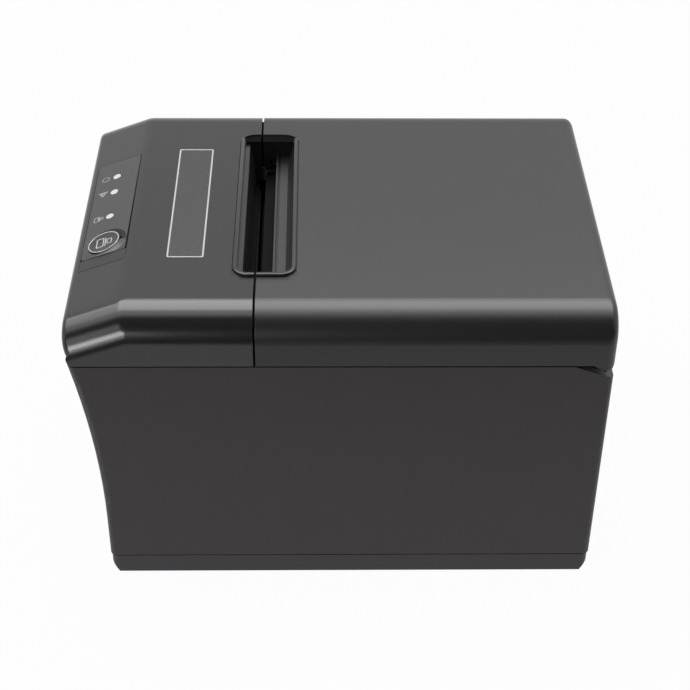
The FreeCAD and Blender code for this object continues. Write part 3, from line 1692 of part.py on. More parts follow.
for index, (x, y) in enumerate(((44.0, 46.0), (44.0, 56.0), (-44.0, 56.0))):
    chips.append(
        rod(f"Capacitor{index}", "z", as_size(4.0), (board_top, board_top + 7.0), (x, board_front + y))
    )
node("board_components", group("BoardComponents", *chips))
board_screws = []
for index, (x, y) in enumerate(board_places):
    board_screws.append(
        rod(f"BoardScrew{index}", "z", d.screw_head_radius, (board_top, board_top + 1.8), (x, y))
    )
node("board_screws", group("BoardScrews", *board_screws))


# Sockets on the board's rear edge
def socket_block(name):
    middle, width = SOCKETS[name]
    return box(
        f"Block_{name}",
        (as_size(middle - width / 2), as_size(middle + width / 2)),
        (socket_front, socket_rear),
        (board_top, socket_top),
    )


def socket_cavity(name, width, low, high, depth):
    middle = SOCKETS[name][0]
    return box(
        f"Cavity_{name}",
        (as_size(middle - width / 2), as_size(middle + width / 2)),
        (socket_rear - depth, socket_rear + 1),
        (board_top + low, board_top + high),
    )


power_bore = rod(
    "PowerBore",
    "y",
    as_size(4.7),
    (socket_rear - 9.0, socket_rear + 1),
    (SOCKETS["power_inlet"][0], board_top + d.socket_height / 2),
)
power_shell = cut("PowerShell", socket_block("power_inlet"), power_bore)
power_pins = []
for index, turn in enumerate((90, 210, 330)):
    power_pins.append(
        rod(
            f"PowerPin{index}",
            "y",
            as_size(0.6),
            (socket_rear - 10.0, socket_rear - 2.0),
            (
                SOCKETS["power_inlet"][0] + 2.4 * math.cos(math.radians(turn)),
                board_top + d.socket_height / 2 + 2.4 * math.sin(math.radians(turn)),
            ),
        )
    )
node("power_inlet", fuse("PowerInlet", power_shell, *power_pins))
data_shell = cut("DataShell", socket_block("data_port"), socket_cavity("data_port", 8.6, 2.0, 10.0, 10.0))
data_tongue = box(
    "DataTongue",
    (as_size(SOCKETS["data_port"][0] - 2.8), as_size(SOCKETS["data_port"][0] + 2.8)),
    (socket_rear - 10.5, socket_rear - 1.5),
    (board_top + 4.4, board_top + 7.6),
)
node("data_port", fuse("DataPort", data_shell, data_tongue))
node(
    "network_port",
    cut("NetworkPort", socket_block("network_port"), socket_cavity("network_port", 11.8, 3.0, 11.0, 12.0)),
)
node(
    "drawer_port",
    cut("DrawerPort", socket_block("drawer_port"), socket_cavity("drawer_port", 9.8, 3.0, 10.0, 12.0)),
)

# Power switch: a housing in the rear wall and a rocker that rests tipped to one side
switch_mid_z = (rocker_low + rocker_high) / 2
switch_rear = rear_y + 0.6
housing = box(
    "SwitchHousingBlock",
    (as_size(rocker_x - rocker_half), as_size(rocker_x + rocker_half)),
    (rear_y - 15.0, rear_y),
    (rocker_low, rocker_high),
)
switch_well = box(
    "SwitchWell",
    (as_size(rocker_x - rocker_half + 1.5), as_size(rocker_x + rocker_half - 1.5)),
    (rear_y - 8.0, rear_y + 2.0),
    (rocker_low + 1.5, rocker_high - 1.5),
)
rocker_pin_y = rear_y - 4.2
switch_pin = rod(
    "SwitchPin", "z", as_size(0.9), (rocker_low + 0.5, rocker_high - 0.5), (rocker_x, rocker_pin_y)
)
node(
    "switch_housing",
    fuse("SwitchHousing", cut("SwitchShell", housing, switch_well), switch_pin),
)
rocker_tip = 7.0
rocker_reach = 7.2
rocker_body = prism(
    "RockerBody",
    "XY_Plane",
    [
        (as_size(-rocker_reach), as_size(3.0)),
        (as_size(0), as_size(1.9)),
        (as_size(rocker_reach), as_size(3.0)),
        (as_size(rocker_reach), as_size(1.4)),
        (as_size(1.8), as_size(-1.8)),
        (as_size(-1.8), as_size(-1.8)),
        (as_size(-rocker_reach), as_size(1.4)),
    ],
    (as_size(0), rocker_high - rocker_low - 3.6),
)
rocker_bore = rod("RockerBore", "z", as_size(0.9) + d.running_clearance, (as_size(-1), as_size(20)), (0, 0))
rocker = cut("PowerRocker", rocker_body, rocker_bore)
rocker.Placement = Placement(Vector(), Rotation(Vector(0, 0, 1), -rocker_tip))
put(rocker, rocker_x, rocker_pin_y, rocker_low + 1.8)
node("power_rocker", rocker)

# Small parts: buzzer, paper sensor and cover switch
node(
    "buzzer",
    rod("Buzzer", "z", as_size(6.0), (board_top, board_top + 6.0), (14.0, board_front + 40.0)),
)
node(
    "paper_sensor",
    box(
        "PaperSensor",
        (-8.0, 8.0),
        (deck_start - 5.0, deck_start),
        (deck_bottom - 6.0, deck_bottom),
    ),
)
node(
    "cover_switch",
    box(
        "CoverSwitch",
        (frame_half, frame_half + 6.0),
        (platen_y + 6.0, platen_y + 13.0),
        (platen_z - 22.0, platen_z - 10.0),
    ),
)

# Check every object before writing the sub-parts
doc.recompute()
faults = [thing.Name for thing in doc.Objects if {"Invalid", "Error"} & set(thing.State)]
faults += [
    name
    for name, thing in parts.items()
    if thing.Shape.isNull() or not thing.Shape.isValid() or not thing.Shape.Solids
]
if faults:
    raise RuntimeError(f"failed objects: {faults}")
os.makedirs("parts", exist_ok=True)
for name, thing in parts.items():
    thing.Shape.exportStep(f"parts/{name}.step")
print(len(parts), "sub-parts written")
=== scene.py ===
import json
import math

import bmesh
import bpy
from mathutils import Matrix, Vector


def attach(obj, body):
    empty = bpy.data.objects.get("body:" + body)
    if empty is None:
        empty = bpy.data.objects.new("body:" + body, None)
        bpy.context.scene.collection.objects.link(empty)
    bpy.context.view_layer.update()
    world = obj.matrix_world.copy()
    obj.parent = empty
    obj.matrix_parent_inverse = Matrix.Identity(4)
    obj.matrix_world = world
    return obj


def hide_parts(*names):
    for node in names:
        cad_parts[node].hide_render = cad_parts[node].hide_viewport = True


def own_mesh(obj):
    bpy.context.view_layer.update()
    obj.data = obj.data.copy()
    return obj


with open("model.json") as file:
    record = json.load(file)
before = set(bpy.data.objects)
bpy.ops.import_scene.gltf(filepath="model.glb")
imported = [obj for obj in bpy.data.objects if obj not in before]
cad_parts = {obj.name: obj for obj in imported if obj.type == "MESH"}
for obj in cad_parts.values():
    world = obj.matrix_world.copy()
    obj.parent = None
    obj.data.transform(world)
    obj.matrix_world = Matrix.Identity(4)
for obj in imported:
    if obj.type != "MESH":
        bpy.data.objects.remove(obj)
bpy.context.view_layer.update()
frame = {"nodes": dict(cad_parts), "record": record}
nodes = frame["nodes"]

MM = 0.001

# Slanted front face: its upper edge, its angle and the direction that it faces
BREAK_Y = -75.8 * MM
TOP_Z = 124.0 * MM
SLANT = math.radians(20.5)
SLANT_FRAME = Matrix.Translation((0, BREAK_Y, TOP_Z)) @ Matrix.Rotation(SLANT, 4, "X")
LEVEL_FRAME = Matrix.Translation((0, 0, TOP_Z))

# Outlines drawn in x and z that grow towards the front, and outlines in y and z that grow across
UPRIGHT = Matrix.Rotation(math.pi / 2, 4, "X")
CROSSWISE = Matrix(((0, 0, 1, 0), (1, 0, 0, 0), (0, 1, 0, 0), (0, 0, 0, 1)))

# Places on the slanted panel, across the printer and down the slope
LENS_ACROSS = (-24.4 * MM, -13.3 * MM, 3.7 * MM)
ICON_DOWN = -15.2 * MM
BUTTON_ACROSS = 21.7 * MM
BUTTON_DOWN = -10.6 * MM
BUTTON_RADIUS = 6.2 * MM
PLATE_FAR = -36.0 * MM
PLATE_NEAR = 28.8 * MM
PLATE_UPPER = -1.2 * MM

PRINT_THICK = 0.05 * MM
PRINT_LIFT = 0.01 * MM


# Materials
def new_material(name):
    """A material with an empty principled shader, and a function that adds nodes to it."""
    material = bpy.data.materials.new(name)
    material.use_nodes = True
    tree = material.node_tree
    shader = tree.nodes["Principled BSDF"]

    def add(kind, **values):
        node = tree.nodes.new(kind)
        for key, value in values.items():
            if key in node.inputs:
                node.inputs[key].default_value = value
            else:
                setattr(node, key, value)
        return node

    return material, tree, shader, add


def place_noise(tree, add, scale, detail, stretch=(1, 1, 1)):
    """Noise in the printer's own frame, so that it stays where it is on every piece."""
    place = add("ShaderNodeTexCoord")
    mapping = add("ShaderNodeMapping")
    mapping.inputs["Scale"].default_value = stretch
    noise = add("ShaderNodeTexNoise", Scale=scale, Detail=detail)
    tree.links.new(place.outputs["Object"], mapping.inputs["Vector"])
    tree.links.new(mapping.outputs["Vector"], noise.inputs["Vector"])
    return noise.outputs["Fac"]


def spread(tree, add, source, low, high):
    """A noise value moved to the range from low to high."""
    node = add("ShaderNodeMapRange")
    node.inputs["From Min"].default_value = 0.3
    node.inputs["From Max"].default_value = 0.7
    node.inputs["To Min"].default_value = low
    node.inputs["To Max"].default_value = high
    tree.links.new(source, node.inputs["Value"])
    return node.outputs["Result"]


def shade(tree, add, source, colour, share):
    """The colour, darker and lighter by a share of itself with the noise."""
    mix = add("ShaderNodeMix", data_type="RGBA")
    mix.inputs["A"].default_value = (*[c * (1 - share) for c in colour], 1)
    mix.inputs["B"].default_value = (*[c * (1 + share) for c in colour], 1)
    tree.links.new(spread(tree, add, source, 0, 1), mix.inputs["Factor"])
    return mix.outputs["Result"]


def surface(
    name,
    colour,
    roughness,
    metallic=0.0,
    specular=0.5,
    grain=0.4 * MM,
    relief=0.01 * MM,
    mottle=0.06,
    patch=18 * MM,
    edge=0.25 * MM,
    rough_spread=0.04,
    stretch=(1, 1, 1),
    coat=0.0,
):
    """A surface with a fine grain, a slow change of tone and softened edges."""
    material, tree, shader, add = new_material(name)
    fine = place_noise(tree, add, 1 / grain, 3, stretch)
    slow = place_noise(tree, add, 1 / patch, 4)
    shader.inputs["Metallic"].default_value = metallic
    shader.inputs["Specular IOR Level"].default_value = specular
    shader.inputs["Coat Weight"].default_value = coat
    shader.inputs["Coat Roughness"].default_value = 0.08
    tree.links.new(shade(tree, add, slow, colour, mottle), shader.inputs["Base Color"])
    rough = spread(tree, add, fine, roughness - rough_spread, roughness + rough_spread)
    tree.links.new(rough, shader.inputs["Roughness"])
    rounding = add("ShaderNodeBevel", Radius=edge)
    rounding.samples = 6
    bump = add("ShaderNodeBump", Strength=0.6, Distance=relief)
    tree.links.new(rounding.outputs["Normal"], bump.inputs["Normal"])
    tree.links.new(fine, bump.inputs["Height"])
    tree.links.new(bump.outputs["Normal"], shader.inputs["Normal"])
    return material


def lens_surface(name):
    """Translucent white plastic over a dark indicator."""
    material = surface(name, (0.88, 0.89, 0.9), 0.22, relief=0.002 * MM, mottle=0.02, coat=0.4)
    shader = material.node_tree.nodes["Principled BSDF"]
    shader.inputs["Subsurface Weight"].default_value = 0.25
    shader.inputs["Subsurface Radius"].default_value = (0.6 * MM, 0.6 * MM, 0.6 * MM)
    return material


def board_surface(name):
    """Green solder mask with lighter copper tracks under it."""
    material, tree, shader, add = new_material(name)
    place = add("ShaderNodeTexCoord")
    tracks = add("ShaderNodeTexBrick", Scale=260.0)
    tracks.inputs["Color1"].default_value = (0.012, 0.1, 0.045, 1)
    tracks.inputs["Color2"].default_value = (0.016, 0.12, 0.055, 1)
    tracks.inputs["Mortar"].default_value = (0.03, 0.2, 0.085, 1)
    tracks.inputs["Mortar Size"].default_value = 0.03
    tree.links.new(place.outputs["Object"], tracks.inputs["Vector"])
    tree.links.new(tracks.outputs["Color"], shader.inputs["Base Color"])
    fine = place_noise(tree, add, 1 / (2 * MM), 3)
    tree.links.new(spread(tree, add, fine, 0.24, 0.34), shader.inputs["Roughness"])
    bump = add("ShaderNodeBump", Strength=0.4, Distance=0.02 * MM)
    tree.links.new(tracks.outputs["Fac"], bump.inputs["Height"])
    tree.links.new(bump.outputs["Normal"], shader.inputs["Normal"])
    return material


CHARCOAL = (0.020, 0.0195, 0.020)
WARM_CHARCOAL = (0.0265, 0.0195, 0.0225)
BASE_CHARCOAL = (0.0255, 0.0195, 0.0290)
BLACK = (0.010, 0.010, 0.011)
# Painted shade: near black for the print head and the cutter blade, which lie in shade inside the paper
# slot
PAINTED_SHADE_BLACK = (0.009, 0.009, 0.010)
STEEL = (0.56, 0.56, 0.55)
LONG_Y = (1, 0.06, 1)
LONG_X = (0.06, 1, 1)

SURFACES = {
    "case_plastic": surface("case_plastic", WARM_CHARCOAL, 0.42, specular=0.385),
    "base_plastic": surface("base_plastic", BASE_CHARCOAL, 0.44, specular=0.42),
    "cover_plastic": surface("cover_plastic", CHARCOAL, 0.33, specular=0.39, relief=0.006 * MM),
    "front_plastic": surface(
        "front_plastic", CHARCOAL, 0.2, specular=0.46, relief=0.003 * MM, rough_spread=0.03
    ),
    "panel_plastic": surface("panel_plastic", (0.026, 0.026, 0.026), 0.34, relief=0.005 * MM),
    "button_plastic": surface("button_plastic", (0.016, 0.016, 0.017), 0.24, relief=0.004 * MM),
    "lens_plastic": lens_surface("lens_plastic"),
    "foot_rubber": surface("foot_rubber", BLACK, 0.78, specular=0.25, grain=0.6 * MM, relief=0.03 * MM),
    "platen_rubber": surface("platen_rubber", (0.02, 0.02, 0.021), 0.62, specular=0.3, relief=0.02 * MM),
    "screw_steel": surface("screw_steel", STEEL, 0.32, metallic=1.0, mottle=0.1, patch=1.5 * MM),
    "inner_plastic": surface("inner_plastic", BLACK, 0.5, specular=0.3),
    "board_green": board_surface("board_green"),
    "chip_black": surface("chip_black", BLACK, 0.5, mottle=0.12, patch=3 * MM),
    "socket_black": surface("socket_black", BLACK, 0.34, specular=0.4),
    "socket_metal": surface("socket_metal", (0.6, 0.6, 0.58), 0.3, metallic=1.0, stretch=LONG_Y),
    "frame_steel": surface("frame_steel", (0.4, 0.4, 0.39), 0.42, metallic=1.0, mottle=0.14, patch=4 * MM),
    "shaft_steel": surface("shaft_steel", (0.6, 0.6, 0.6), 0.22, metallic=1.0, stretch=LONG_X),
    "spring_steel": surface("spring_steel", (0.5, 0.5, 0.48), 0.3, metallic=1.0),
    "motor_can": surface("motor_can", (0.4, 0.4, 0.39), 0.36, metallic=1.0, mottle=0.12),
    "cutter_sheet": surface("cutter_sheet", (0.5, 0.5, 0.49), 0.38, metallic=1.0, stretch=LONG_X),
    "bush_plastic": surface("bush_plastic", (0.7, 0.69, 0.65), 0.4),
    "gear_plastic": surface("gear_plastic", (0.74, 0.73, 0.68), 0.38),
    "gear_brass": surface("gear_brass", (0.72, 0.52, 0.22), 0.26, metallic=1.0),
    # Painted shade: the print head's heat sink and ceramic and the cutter blade lie in shade inside the
    # paper slot, so they are made near black with hardly any reflection
    "head_aluminium": surface("head_aluminium", PAINTED_SHADE_BLACK, 0.6, specular=0.04, stretch=LONG_X),
    "head_ceramic": surface("head_ceramic", (0.012, 0.010, 0.009), 0.5, specular=0.05, mottle=0.1),
    "blade_steel": surface("blade_steel", PAINTED_SHADE_BLACK, 0.6, specular=0.04, stretch=LONG_Y),
    "reset_plastic": surface("reset_plastic", (0.1, 0.26, 0.56), 0.4),
}
white_print = surface("white_print", (0.72, 0.72, 0.71), 0.5, grain=0.2 * MM, relief=0.004 * MM)
grey_print = surface("grey_print", (0.45, 0.46, 0.47), 0.5, grain=0.2 * MM, relief=0.004 * MM)
ring_silver = surface("ring_silver", (0.44, 0.45, 0.46), 0.36, metallic=0.5, relief=0.002 * MM)
label_film = surface("label_film", (0.019, 0.019, 0.020), 0.3, relief=0.003 * MM)
# Painted shade: a near-black sheet with hardly any reflection, laid where gaps, seams and the slot's far
# end lie in shade
shade_black = surface("shade_black", (0.006, 0.006, 0.006), 0.7, specular=0.02)
# Painted shade: a dark, dull sheet for the shaded hollow beside the feed button
dish_painted_shade = surface("dish_painted_shade", (0.014, 0.014, 0.015), 0.45, specular=0.2, relief=0.004 * MM)
ramp_plastic = surface("ramp_plastic", CHARCOAL, 0.3, specular=0.33, relief=0.004 * MM)


CRISP_ANGLE = math.radians(28)


def smooth(mesh):
    """Round faces shade smoothly and edges over a set angle stay crisp."""
    mesh.shade_smooth()
    mesh.set_sharp_from_angle(angle=CRISP_ANGLE)


slot_of = {row["node"]: row["material_slot"] for row in frame["record"]["subparts"]}
for name, thing in nodes.items():
    thing.data.materials.clear()
    thing.data.materials.append(SURFACES[slot_of[name]])


# Pieces
def piece(name, shape, material, body, place=None):
    """A finished mesh as a piece of the object that rides on a body."""
    mesh = bpy.data.meshes.new(name)
    if place is not None:
        shape.transform(place)
    bmesh.ops.recalc_face_normals(shape, faces=shape.faces)
    shape.to_mesh(mesh)
    shape.free()
    smooth(mesh)
    mesh.materials.append(material)
    thing = bpy.data.objects.new(name, mesh)
    bpy.context.scene.collection.objects.link(thing)
    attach(thing, body)
    return thing


RAY_START = 20 * MM
SHARPEST_MITRE = 0.4


def height_on(node, place, across, along):
    """How high a node's surface lies over a place's own plane at a point."""
    start = place @ Vector((across, along, RAY_START))
    ray = place.to_3x3() @ Vector((0, 0, -1))
    found, spot, _, _ = nodes[node].ray_cast(start, ray)
    if not found:
        raise RuntimeError(f"nothing of {node} lies under {across}, {along}")
    return (place.inverted() @ spot).z


def ribbon(shape, points, width, base, closed=True):
    """A flat raised line of even width through points, on a plane at height base."""
    count = len(points)
    sides = []
    for index, point in enumerate(points):
        before = points[index - 1] if closed or index else None
        after = points[(index + 1) % count] if closed or index < count - 1 else None
        into = (point - before).normalized() if before is not None else None
        out = (after - point).normalized() if after is not None else None
        into = into or out
        out = out or into
        normal = (Vector((-into.y, into.x)) + Vector((-out.y, out.x))).normalized()
        reach = width / 2 / max(SHARPEST_MITRE, normal.dot(Vector((-into.y, into.x))))
        row = []
        for side, level in ((-1, 0), (-1, PRINT_THICK), (1, PRINT_THICK), (1, 0)):
            flat = point + normal * reach * side
            row.append(shape.verts.new((flat.x, flat.y, base + level)))
        sides.append(row)
    for index in range(count if closed else count - 1):
        first, second = sides[index], sides[(index + 1) % count]
        for a in range(4):
            b = (a + 1) % 4
            shape.faces.new((first[a], first[b], second[b], second[a]))
    if not closed:
        shape.faces.new(sides[0])
        shape.faces.new(sides[-1])


def round_box(centre, size, corner, steps=5):
    """The outline of a rectangle with rounded corners."""
    points = []
    for turn, (sx, sy) in enumerate(((1, 1), (-1, 1), (-1, -1), (1, -1))):
        middle = Vector((centre[0] + sx * (size[0] / 2 - corner), centre[1] + sy * (size[1] / 2 - corner)))
        for step in range(steps + 1):
            angle = math.pi / 2 * (turn + step / steps)
            points.append(middle + Vector((math.cos(angle), math.sin(angle))) * corner)
    return points


def arc(centre, radius, start, end, steps):
    """Points along an arc, with its angles in degrees."""
    angles = [math.radians(start + (end - start) * step / steps) for step in range(steps + 1)]
    return [Vector(centre) + Vector((math.cos(a), math.sin(a))) * radius for a in angles]


def plate(shape, points, base, thick):
    """A flat plate with the given outline, standing on height base."""
    face = shape.faces.new([shape.verts.new((p.x, p.y, base)) for p in points])
    grown = bmesh.ops.extrude_face_region(shape, geom=[face])["geom"]
    risen = [item for item in grown if isinstance(item, bmesh.types.BMVert)]
    bmesh.ops.translate(shape, verts=risen, vec=(0, 0, thick))


# Bare label panel on the top of the front cover: a film with a printed white border
LABEL_CENTRE = (-1.45 * MM, -55.25 * MM)
LABEL_SIZE = (74.3 * MM, 12.7 * MM)
LABEL_LINE = 0.6 * MM
LABEL_CORNER = 0.5 * MM
FILM_MARGIN = 0.84 * MM
LABEL_FILM_CORNER = 0.9 * MM
film = bmesh.new()
film_base = height_on("front_cover", LEVEL_FRAME, *LABEL_CENTRE)
label_film_size = [length + FILM_MARGIN for length in LABEL_SIZE]
plate(film, round_box(LABEL_CENTRE, label_film_size, LABEL_FILM_CORNER), film_base, PRINT_THICK)
piece("label_film", film, label_film, "front_cover", LEVEL_FRAME)
border = bmesh.new()
ribbon(border, round_box(LABEL_CENTRE, LABEL_SIZE, LABEL_CORNER), LABEL_LINE, film_base + PRINT_THICK)
piece("label_border", border, white_print, "front_cover", LEVEL_FRAME)

# Status icons beside the lenses: a ring, a triangle and a paper roll
ICON_LINE = 0.38 * MM
ICON_SHIFT = -0.2 * MM
ICON_RADIUS = 1.45 * MM
ICON_TURN = 350
ICON_STEPS = 35
TRIANGLE_SHIFT = -0.9 * MM
TRIANGLE_REACHES = (2.0 * MM, 0.95 * MM)
TRIANGLE_TURN = 240
ROLL_SCALE = 1.3 * MM
panel_top = height_on("panel_plate", SLANT_FRAME, LENS_ACROSS[1], ICON_DOWN) + PRINT_LIFT
icon = bmesh.new()
ring_middle = (LENS_ACROSS[0] + ICON_SHIFT, ICON_DOWN)
ribbon(icon, arc(ring_middle, ICON_RADIUS, 0, ICON_TURN, ICON_STEPS), ICON_LINE, panel_top)
piece("icon_ring", icon, grey_print, "front_cover", SLANT_FRAME)
icon = bmesh.new()
triangle_middle = (LENS_ACROSS[1] + TRIANGLE_SHIFT, ICON_DOWN)
for reach in TRIANGLE_REACHES:
    ribbon(icon, arc(triangle_middle, reach, 0, TRIANGLE_TURN, 2), ICON_LINE, panel_top)
piece("icon_triangle", icon, grey_print, "front_cover", SLANT_FRAME)

# The roll icon's boxes and line, as shares of its scale: middle, width, height and corner
ROLL_SMALL = (1.0, 1.3, 0.8, 0.2)
ROLL_LARGE = (-0.65, 2.4, 1.2, 0.25)
ROLL_LINE_MIDDLE = 0.3
ROLL_LINE_HALF = 1.2


def roll_icon(shape, centre, scale, line, base):
    """A printer outline in three strokes: a small box, a line and a large box."""
    x, y = centre
    for middle, width, height, corner in (ROLL_SMALL, ROLL_LARGE):
        size = (width * scale, height * scale)
        ribbon(shape, round_box((x, y + middle * scale), size, corner * scale), line, base)
    level = y + ROLL_LINE_MIDDLE * scale
    half = ROLL_LINE_HALF * scale
    ribbon(shape, [Vector((x - half, level)), Vector((x + half, level))], line, base, closed=False)


icon = bmesh.new()
roll_icon(icon, (LENS_ACROSS[2] + ICON_SHIFT, ICON_DOWN), ROLL_SCALE, ICON_LINE, panel_top)
piece("icon_roll", icon, grey_print, "front_cover", SLANT_FRAME)

# Springs behind the print head, as fixed coils on the chassis; the real springs shorten when the head
# tilts back
COIL_ACROSS = (-26.0 * MM, 0.0, 26.0 * MM)
COIL_MIDDLE_Z = 97.0 * MM
COIL_START_Y = -42.46 * MM
COIL_LENGTH = 5.92 * MM
COIL_RADIUS = 2.15 * MM
COIL_WIRE = 0.45 * MM
COIL_TURNS = 4
COIL_STEPS = 24
COIL_SIDES = 8


def coil(shape, across):
    """A spring wound round an axis that runs from the front to the rear."""
    rings = []
    last = COIL_TURNS * COIL_STEPS
    for step in range(last + 1):
        angle = 2 * math.pi * step / COIL_STEPS
        outward = Vector((math.cos(angle), 0, math.sin(angle)))
        along = Vector((across, COIL_START_Y + COIL_LENGTH * step / last, COIL_MIDDLE_Z))
        ring = []
        for side in range(COIL_SIDES):
            turn = 2 * math.pi * side / COIL_SIDES
            offset = outward * math.cos(turn) + Vector((0, math.sin(turn), 0))
            ring.append(shape.verts.new(along + outward * COIL_RADIUS + offset * COIL_WIRE))
        rings.append(ring)
    for first, second in zip(rings, rings[1:]):
        for a in range(COIL_SIDES):
            b = (a + 1) % COIL_SIDES
            shape.faces.new((first[a], first[b], second[b], second[a]))
    shape.faces.new(rings[0])
    shape.faces.new(rings[-1])


coils = bmesh.new()
for across in COIL_ACROSS:
    coil(coils, across)
head_coils = piece("head_coils", coils, SURFACES["spring_steel"], "chassis")
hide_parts("head_springs")
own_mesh(head_coils)

# Front wall of the lower case, which leans out towards the top in one arc
WALL_LOW_Y = -87.1 * MM
WALL_LOW_Z = 29.0 * MM
WALL_RISE = 73.6 * MM
WALL_RUN = 8.0 * MM
WALL_HALF = 70.05 * MM
WALL_THICK = 2.0 * MM
WALL_PROUD = 0.03 * MM
WALL_STEPS = 24
wall_bend = (WALL_RUN**2 + WALL_RISE**2) / (2 * WALL_RUN)
wall_turn = math.degrees(math.asin(WALL_RISE / wall_bend))
wall_centre = (WALL_LOW_Y - wall_bend, WALL_LOW_Z)
outer_line = arc(wall_centre, wall_bend - WALL_PROUD, 0, wall_turn, WALL_STEPS)
inner_line = arc(wall_centre, wall_bend + WALL_THICK, wall_turn, 0, WALL_STEPS)
front_wall = bmesh.new()
plate(front_wall, [*outer_line, *inner_line], -WALL_HALF, 2 * WALL_HALF)
piece("case_front", front_wall, SURFACES["case_plastic"], "chassis", CROSSWISE)


def turned(shape, centre, line, start, end, steps):
    """A closed line of (radius, height) points turned about an axis; the line depends on the angle."""
    rows = []
    whole = abs(end - start) >= 360
    for step in range(steps if whole else steps + 1):
        degrees = start + (end - start) * step / steps
        way = Vector((math.cos(math.radians(degrees)), math.sin(math.radians(degrees))))
        spots = [(Vector(centre) + way * radius, height) for radius, height in line(degrees)]
        rows.append([shape.verts.new((*flat, height)) for flat, height in spots])
    follow = rows[1:] + rows[:1] if whole else rows[1:]
    for first, second in zip(rows, follow):
        for a in range(len(first)):
            b = (a + 1) % len(first)
            shape.faces.new((first[a], first[b], second[b], second[a]))
    if not whole:
        shape.faces.new(rows[0])
        shape.faces.new(rows[-1])


# Feed button: a hollow face on the cap, a silver ring round it and a roll icon in it
button_top = height_on("feed_button", SLANT_FRAME, BUTTON_ACROSS, BUTTON_DOWN)
BUTTON_CENTRE = (BUTTON_ACROSS, BUTTON_DOWN)
RING_WIDTH = 0.5 * MM
RING_TURN = 355
RING_STEPS = 71
FACE_HOLLOW = 0.22 * MM
FACE_THIN = 0.03 * MM
FACE_EYE = 0.02 * MM
FACE_STEPS = 10
FACE_TURNS = 72
face_line = [(FACE_EYE, button_top + PRINT_LIFT)]
for step in range(FACE_STEPS + 1):
    share = step / FACE_STEPS
    radius = FACE_EYE + (BUTTON_RADIUS - FACE_EYE) * share
    face_line.append((radius, button_top + FACE_THIN + FACE_HOLLOW * share**2))
face_line.append((BUTTON_RADIUS, button_top + PRINT_LIFT))
face = bmesh.new()
turned(face, BUTTON_CENTRE, lambda degrees: face_line, 0, 360, FACE_TURNS)
piece("button_face", face, SURFACES["button_plastic"], "feed_button", SLANT_FRAME)
ring = bmesh.new()
ring_line = arc(BUTTON_CENTRE, BUTTON_RADIUS - RING_WIDTH / 2, 0, RING_TURN, RING_STEPS)
ribbon(ring, ring_line, RING_WIDTH, button_top + FACE_THIN + FACE_HOLLOW)
piece("button_ring", ring, ring_silver, "feed_button", SLANT_FRAME)
BUTTON_ICON_RISE = 0.08 * MM
BUTTON_ICON_SCALE = 2.2 * MM
BUTTON_ICON_LINE = 0.42 * MM
icon = bmesh.new()
roll_icon(icon, BUTTON_CENTRE, BUTTON_ICON_SCALE, BUTTON_ICON_LINE, button_top + BUTTON_ICON_RISE)
piece("button_icon", icon, white_print, "feed_button", SLANT_FRAME)

# Collar that rises to the button on its near side, and on its far side a dark sheet of painted shade in
# the hollow
COLLAR_INNER = 6.42 * MM
COLLAR_OUTER = 8.75 * MM
COLLAR_REACH = 7.25 * MM
COLLAR_LOW = -0.85 * MM
COLLAR_LIFT = 0.03 * MM
COLLAR_LEVEL = 0.15 * MM
COLLAR_RISE = 0.4 * MM
COLLAR_PEAK = 40.0
COLLAR_START = -160.0
COLLAR_END = 85.0
HOLLOW_INNER = 6.55 * MM
HOLLOW_OUTER = 8.6 * MM
HOLLOW_DEPTH = 0.86 * MM
COLLAR_STEPS = 60
LEAST_COSINE = 0.01


def collar_line(degrees):
    """The collar's section: high beside the button on its near side, and lower elsewhere."""
    lean = max(0.0, math.cos(math.radians(degrees - COLLAR_PEAK)))
    along = max(LEAST_COSINE, math.cos(math.radians(degrees)))
    outer = min(COLLAR_OUTER, COLLAR_REACH / along)
    return [
        (COLLAR_INNER, COLLAR_LOW),
        (COLLAR_INNER, COLLAR_LIFT + COLLAR_LEVEL + COLLAR_RISE * lean**2),
        (outer, COLLAR_LIFT),
        (outer, -COLLAR_LIFT),
    ]


def hollow_shade_line(degrees):
    """A thin dark sheet of painted shade that lines the hollow beside the button."""
    return [
        (HOLLOW_INNER, -HOLLOW_DEPTH),
        (HOLLOW_INNER, COLLAR_LIFT - HOLLOW_DEPTH),
        (HOLLOW_OUTER, COLLAR_LIFT),
        (HOLLOW_OUTER, 0),
    ]


collar = bmesh.new()
turned(collar, BUTTON_CENTRE, collar_line, COLLAR_START, COLLAR_END, COLLAR_STEPS)
piece("button_collar", collar, SURFACES["panel_plastic"], "front_cover", SLANT_FRAME)
hollow = bmesh.new()
turned(hollow, BUTTON_CENTRE, hollow_shade_line, COLLAR_END, COLLAR_START + 360, COLLAR_STEPS)
piece("button_hollow_shade", hollow, dish_painted_shade, "front_cover", SLANT_FRAME)

# Cover over the ramp beside the plate, nearly level with the slanted face
RAMP_NEAR = 35.75 * MM
RAMP_DROP = 0.12 * MM
RAMP_THICK = 0.7 * MM
RAMP_UPPER = 1.15 * MM
RAMP_LOWER = 19.42 * MM
RAMP_LINE = 0.1 * MM
ramp_line = (
    (PLATE_NEAR + PRINT_THICK, -RAMP_DROP),
    (PLATE_NEAR + PRINT_THICK, -RAMP_DROP - RAMP_THICK),
    (RAMP_NEAR, 0),
    (RAMP_NEAR, PRINT_LIFT),
)
ramp = bmesh.new()
plate(ramp, [Vector(point) for point in ramp_line], RAMP_UPPER, RAMP_LOWER - RAMP_UPPER)
piece("panel_ramp", ramp, ramp_plastic, "front_cover", SLANT_FRAME @ UPRIGHT)
# Painted shade: a thin black line along the near end of the ramp, where the recess ends in shade
ramp_edge = bmesh.new()
edge_ends = [Vector((RAMP_NEAR, -RAMP_LOWER)), Vector((RAMP_NEAR, -RAMP_UPPER))]
ribbon(ramp_edge, edge_ends, RAMP_LINE, PRINT_LIFT, closed=False)
piece("panel_ramp_edge_shade", ramp_edge, shade_black, "front_cover", SLANT_FRAME)
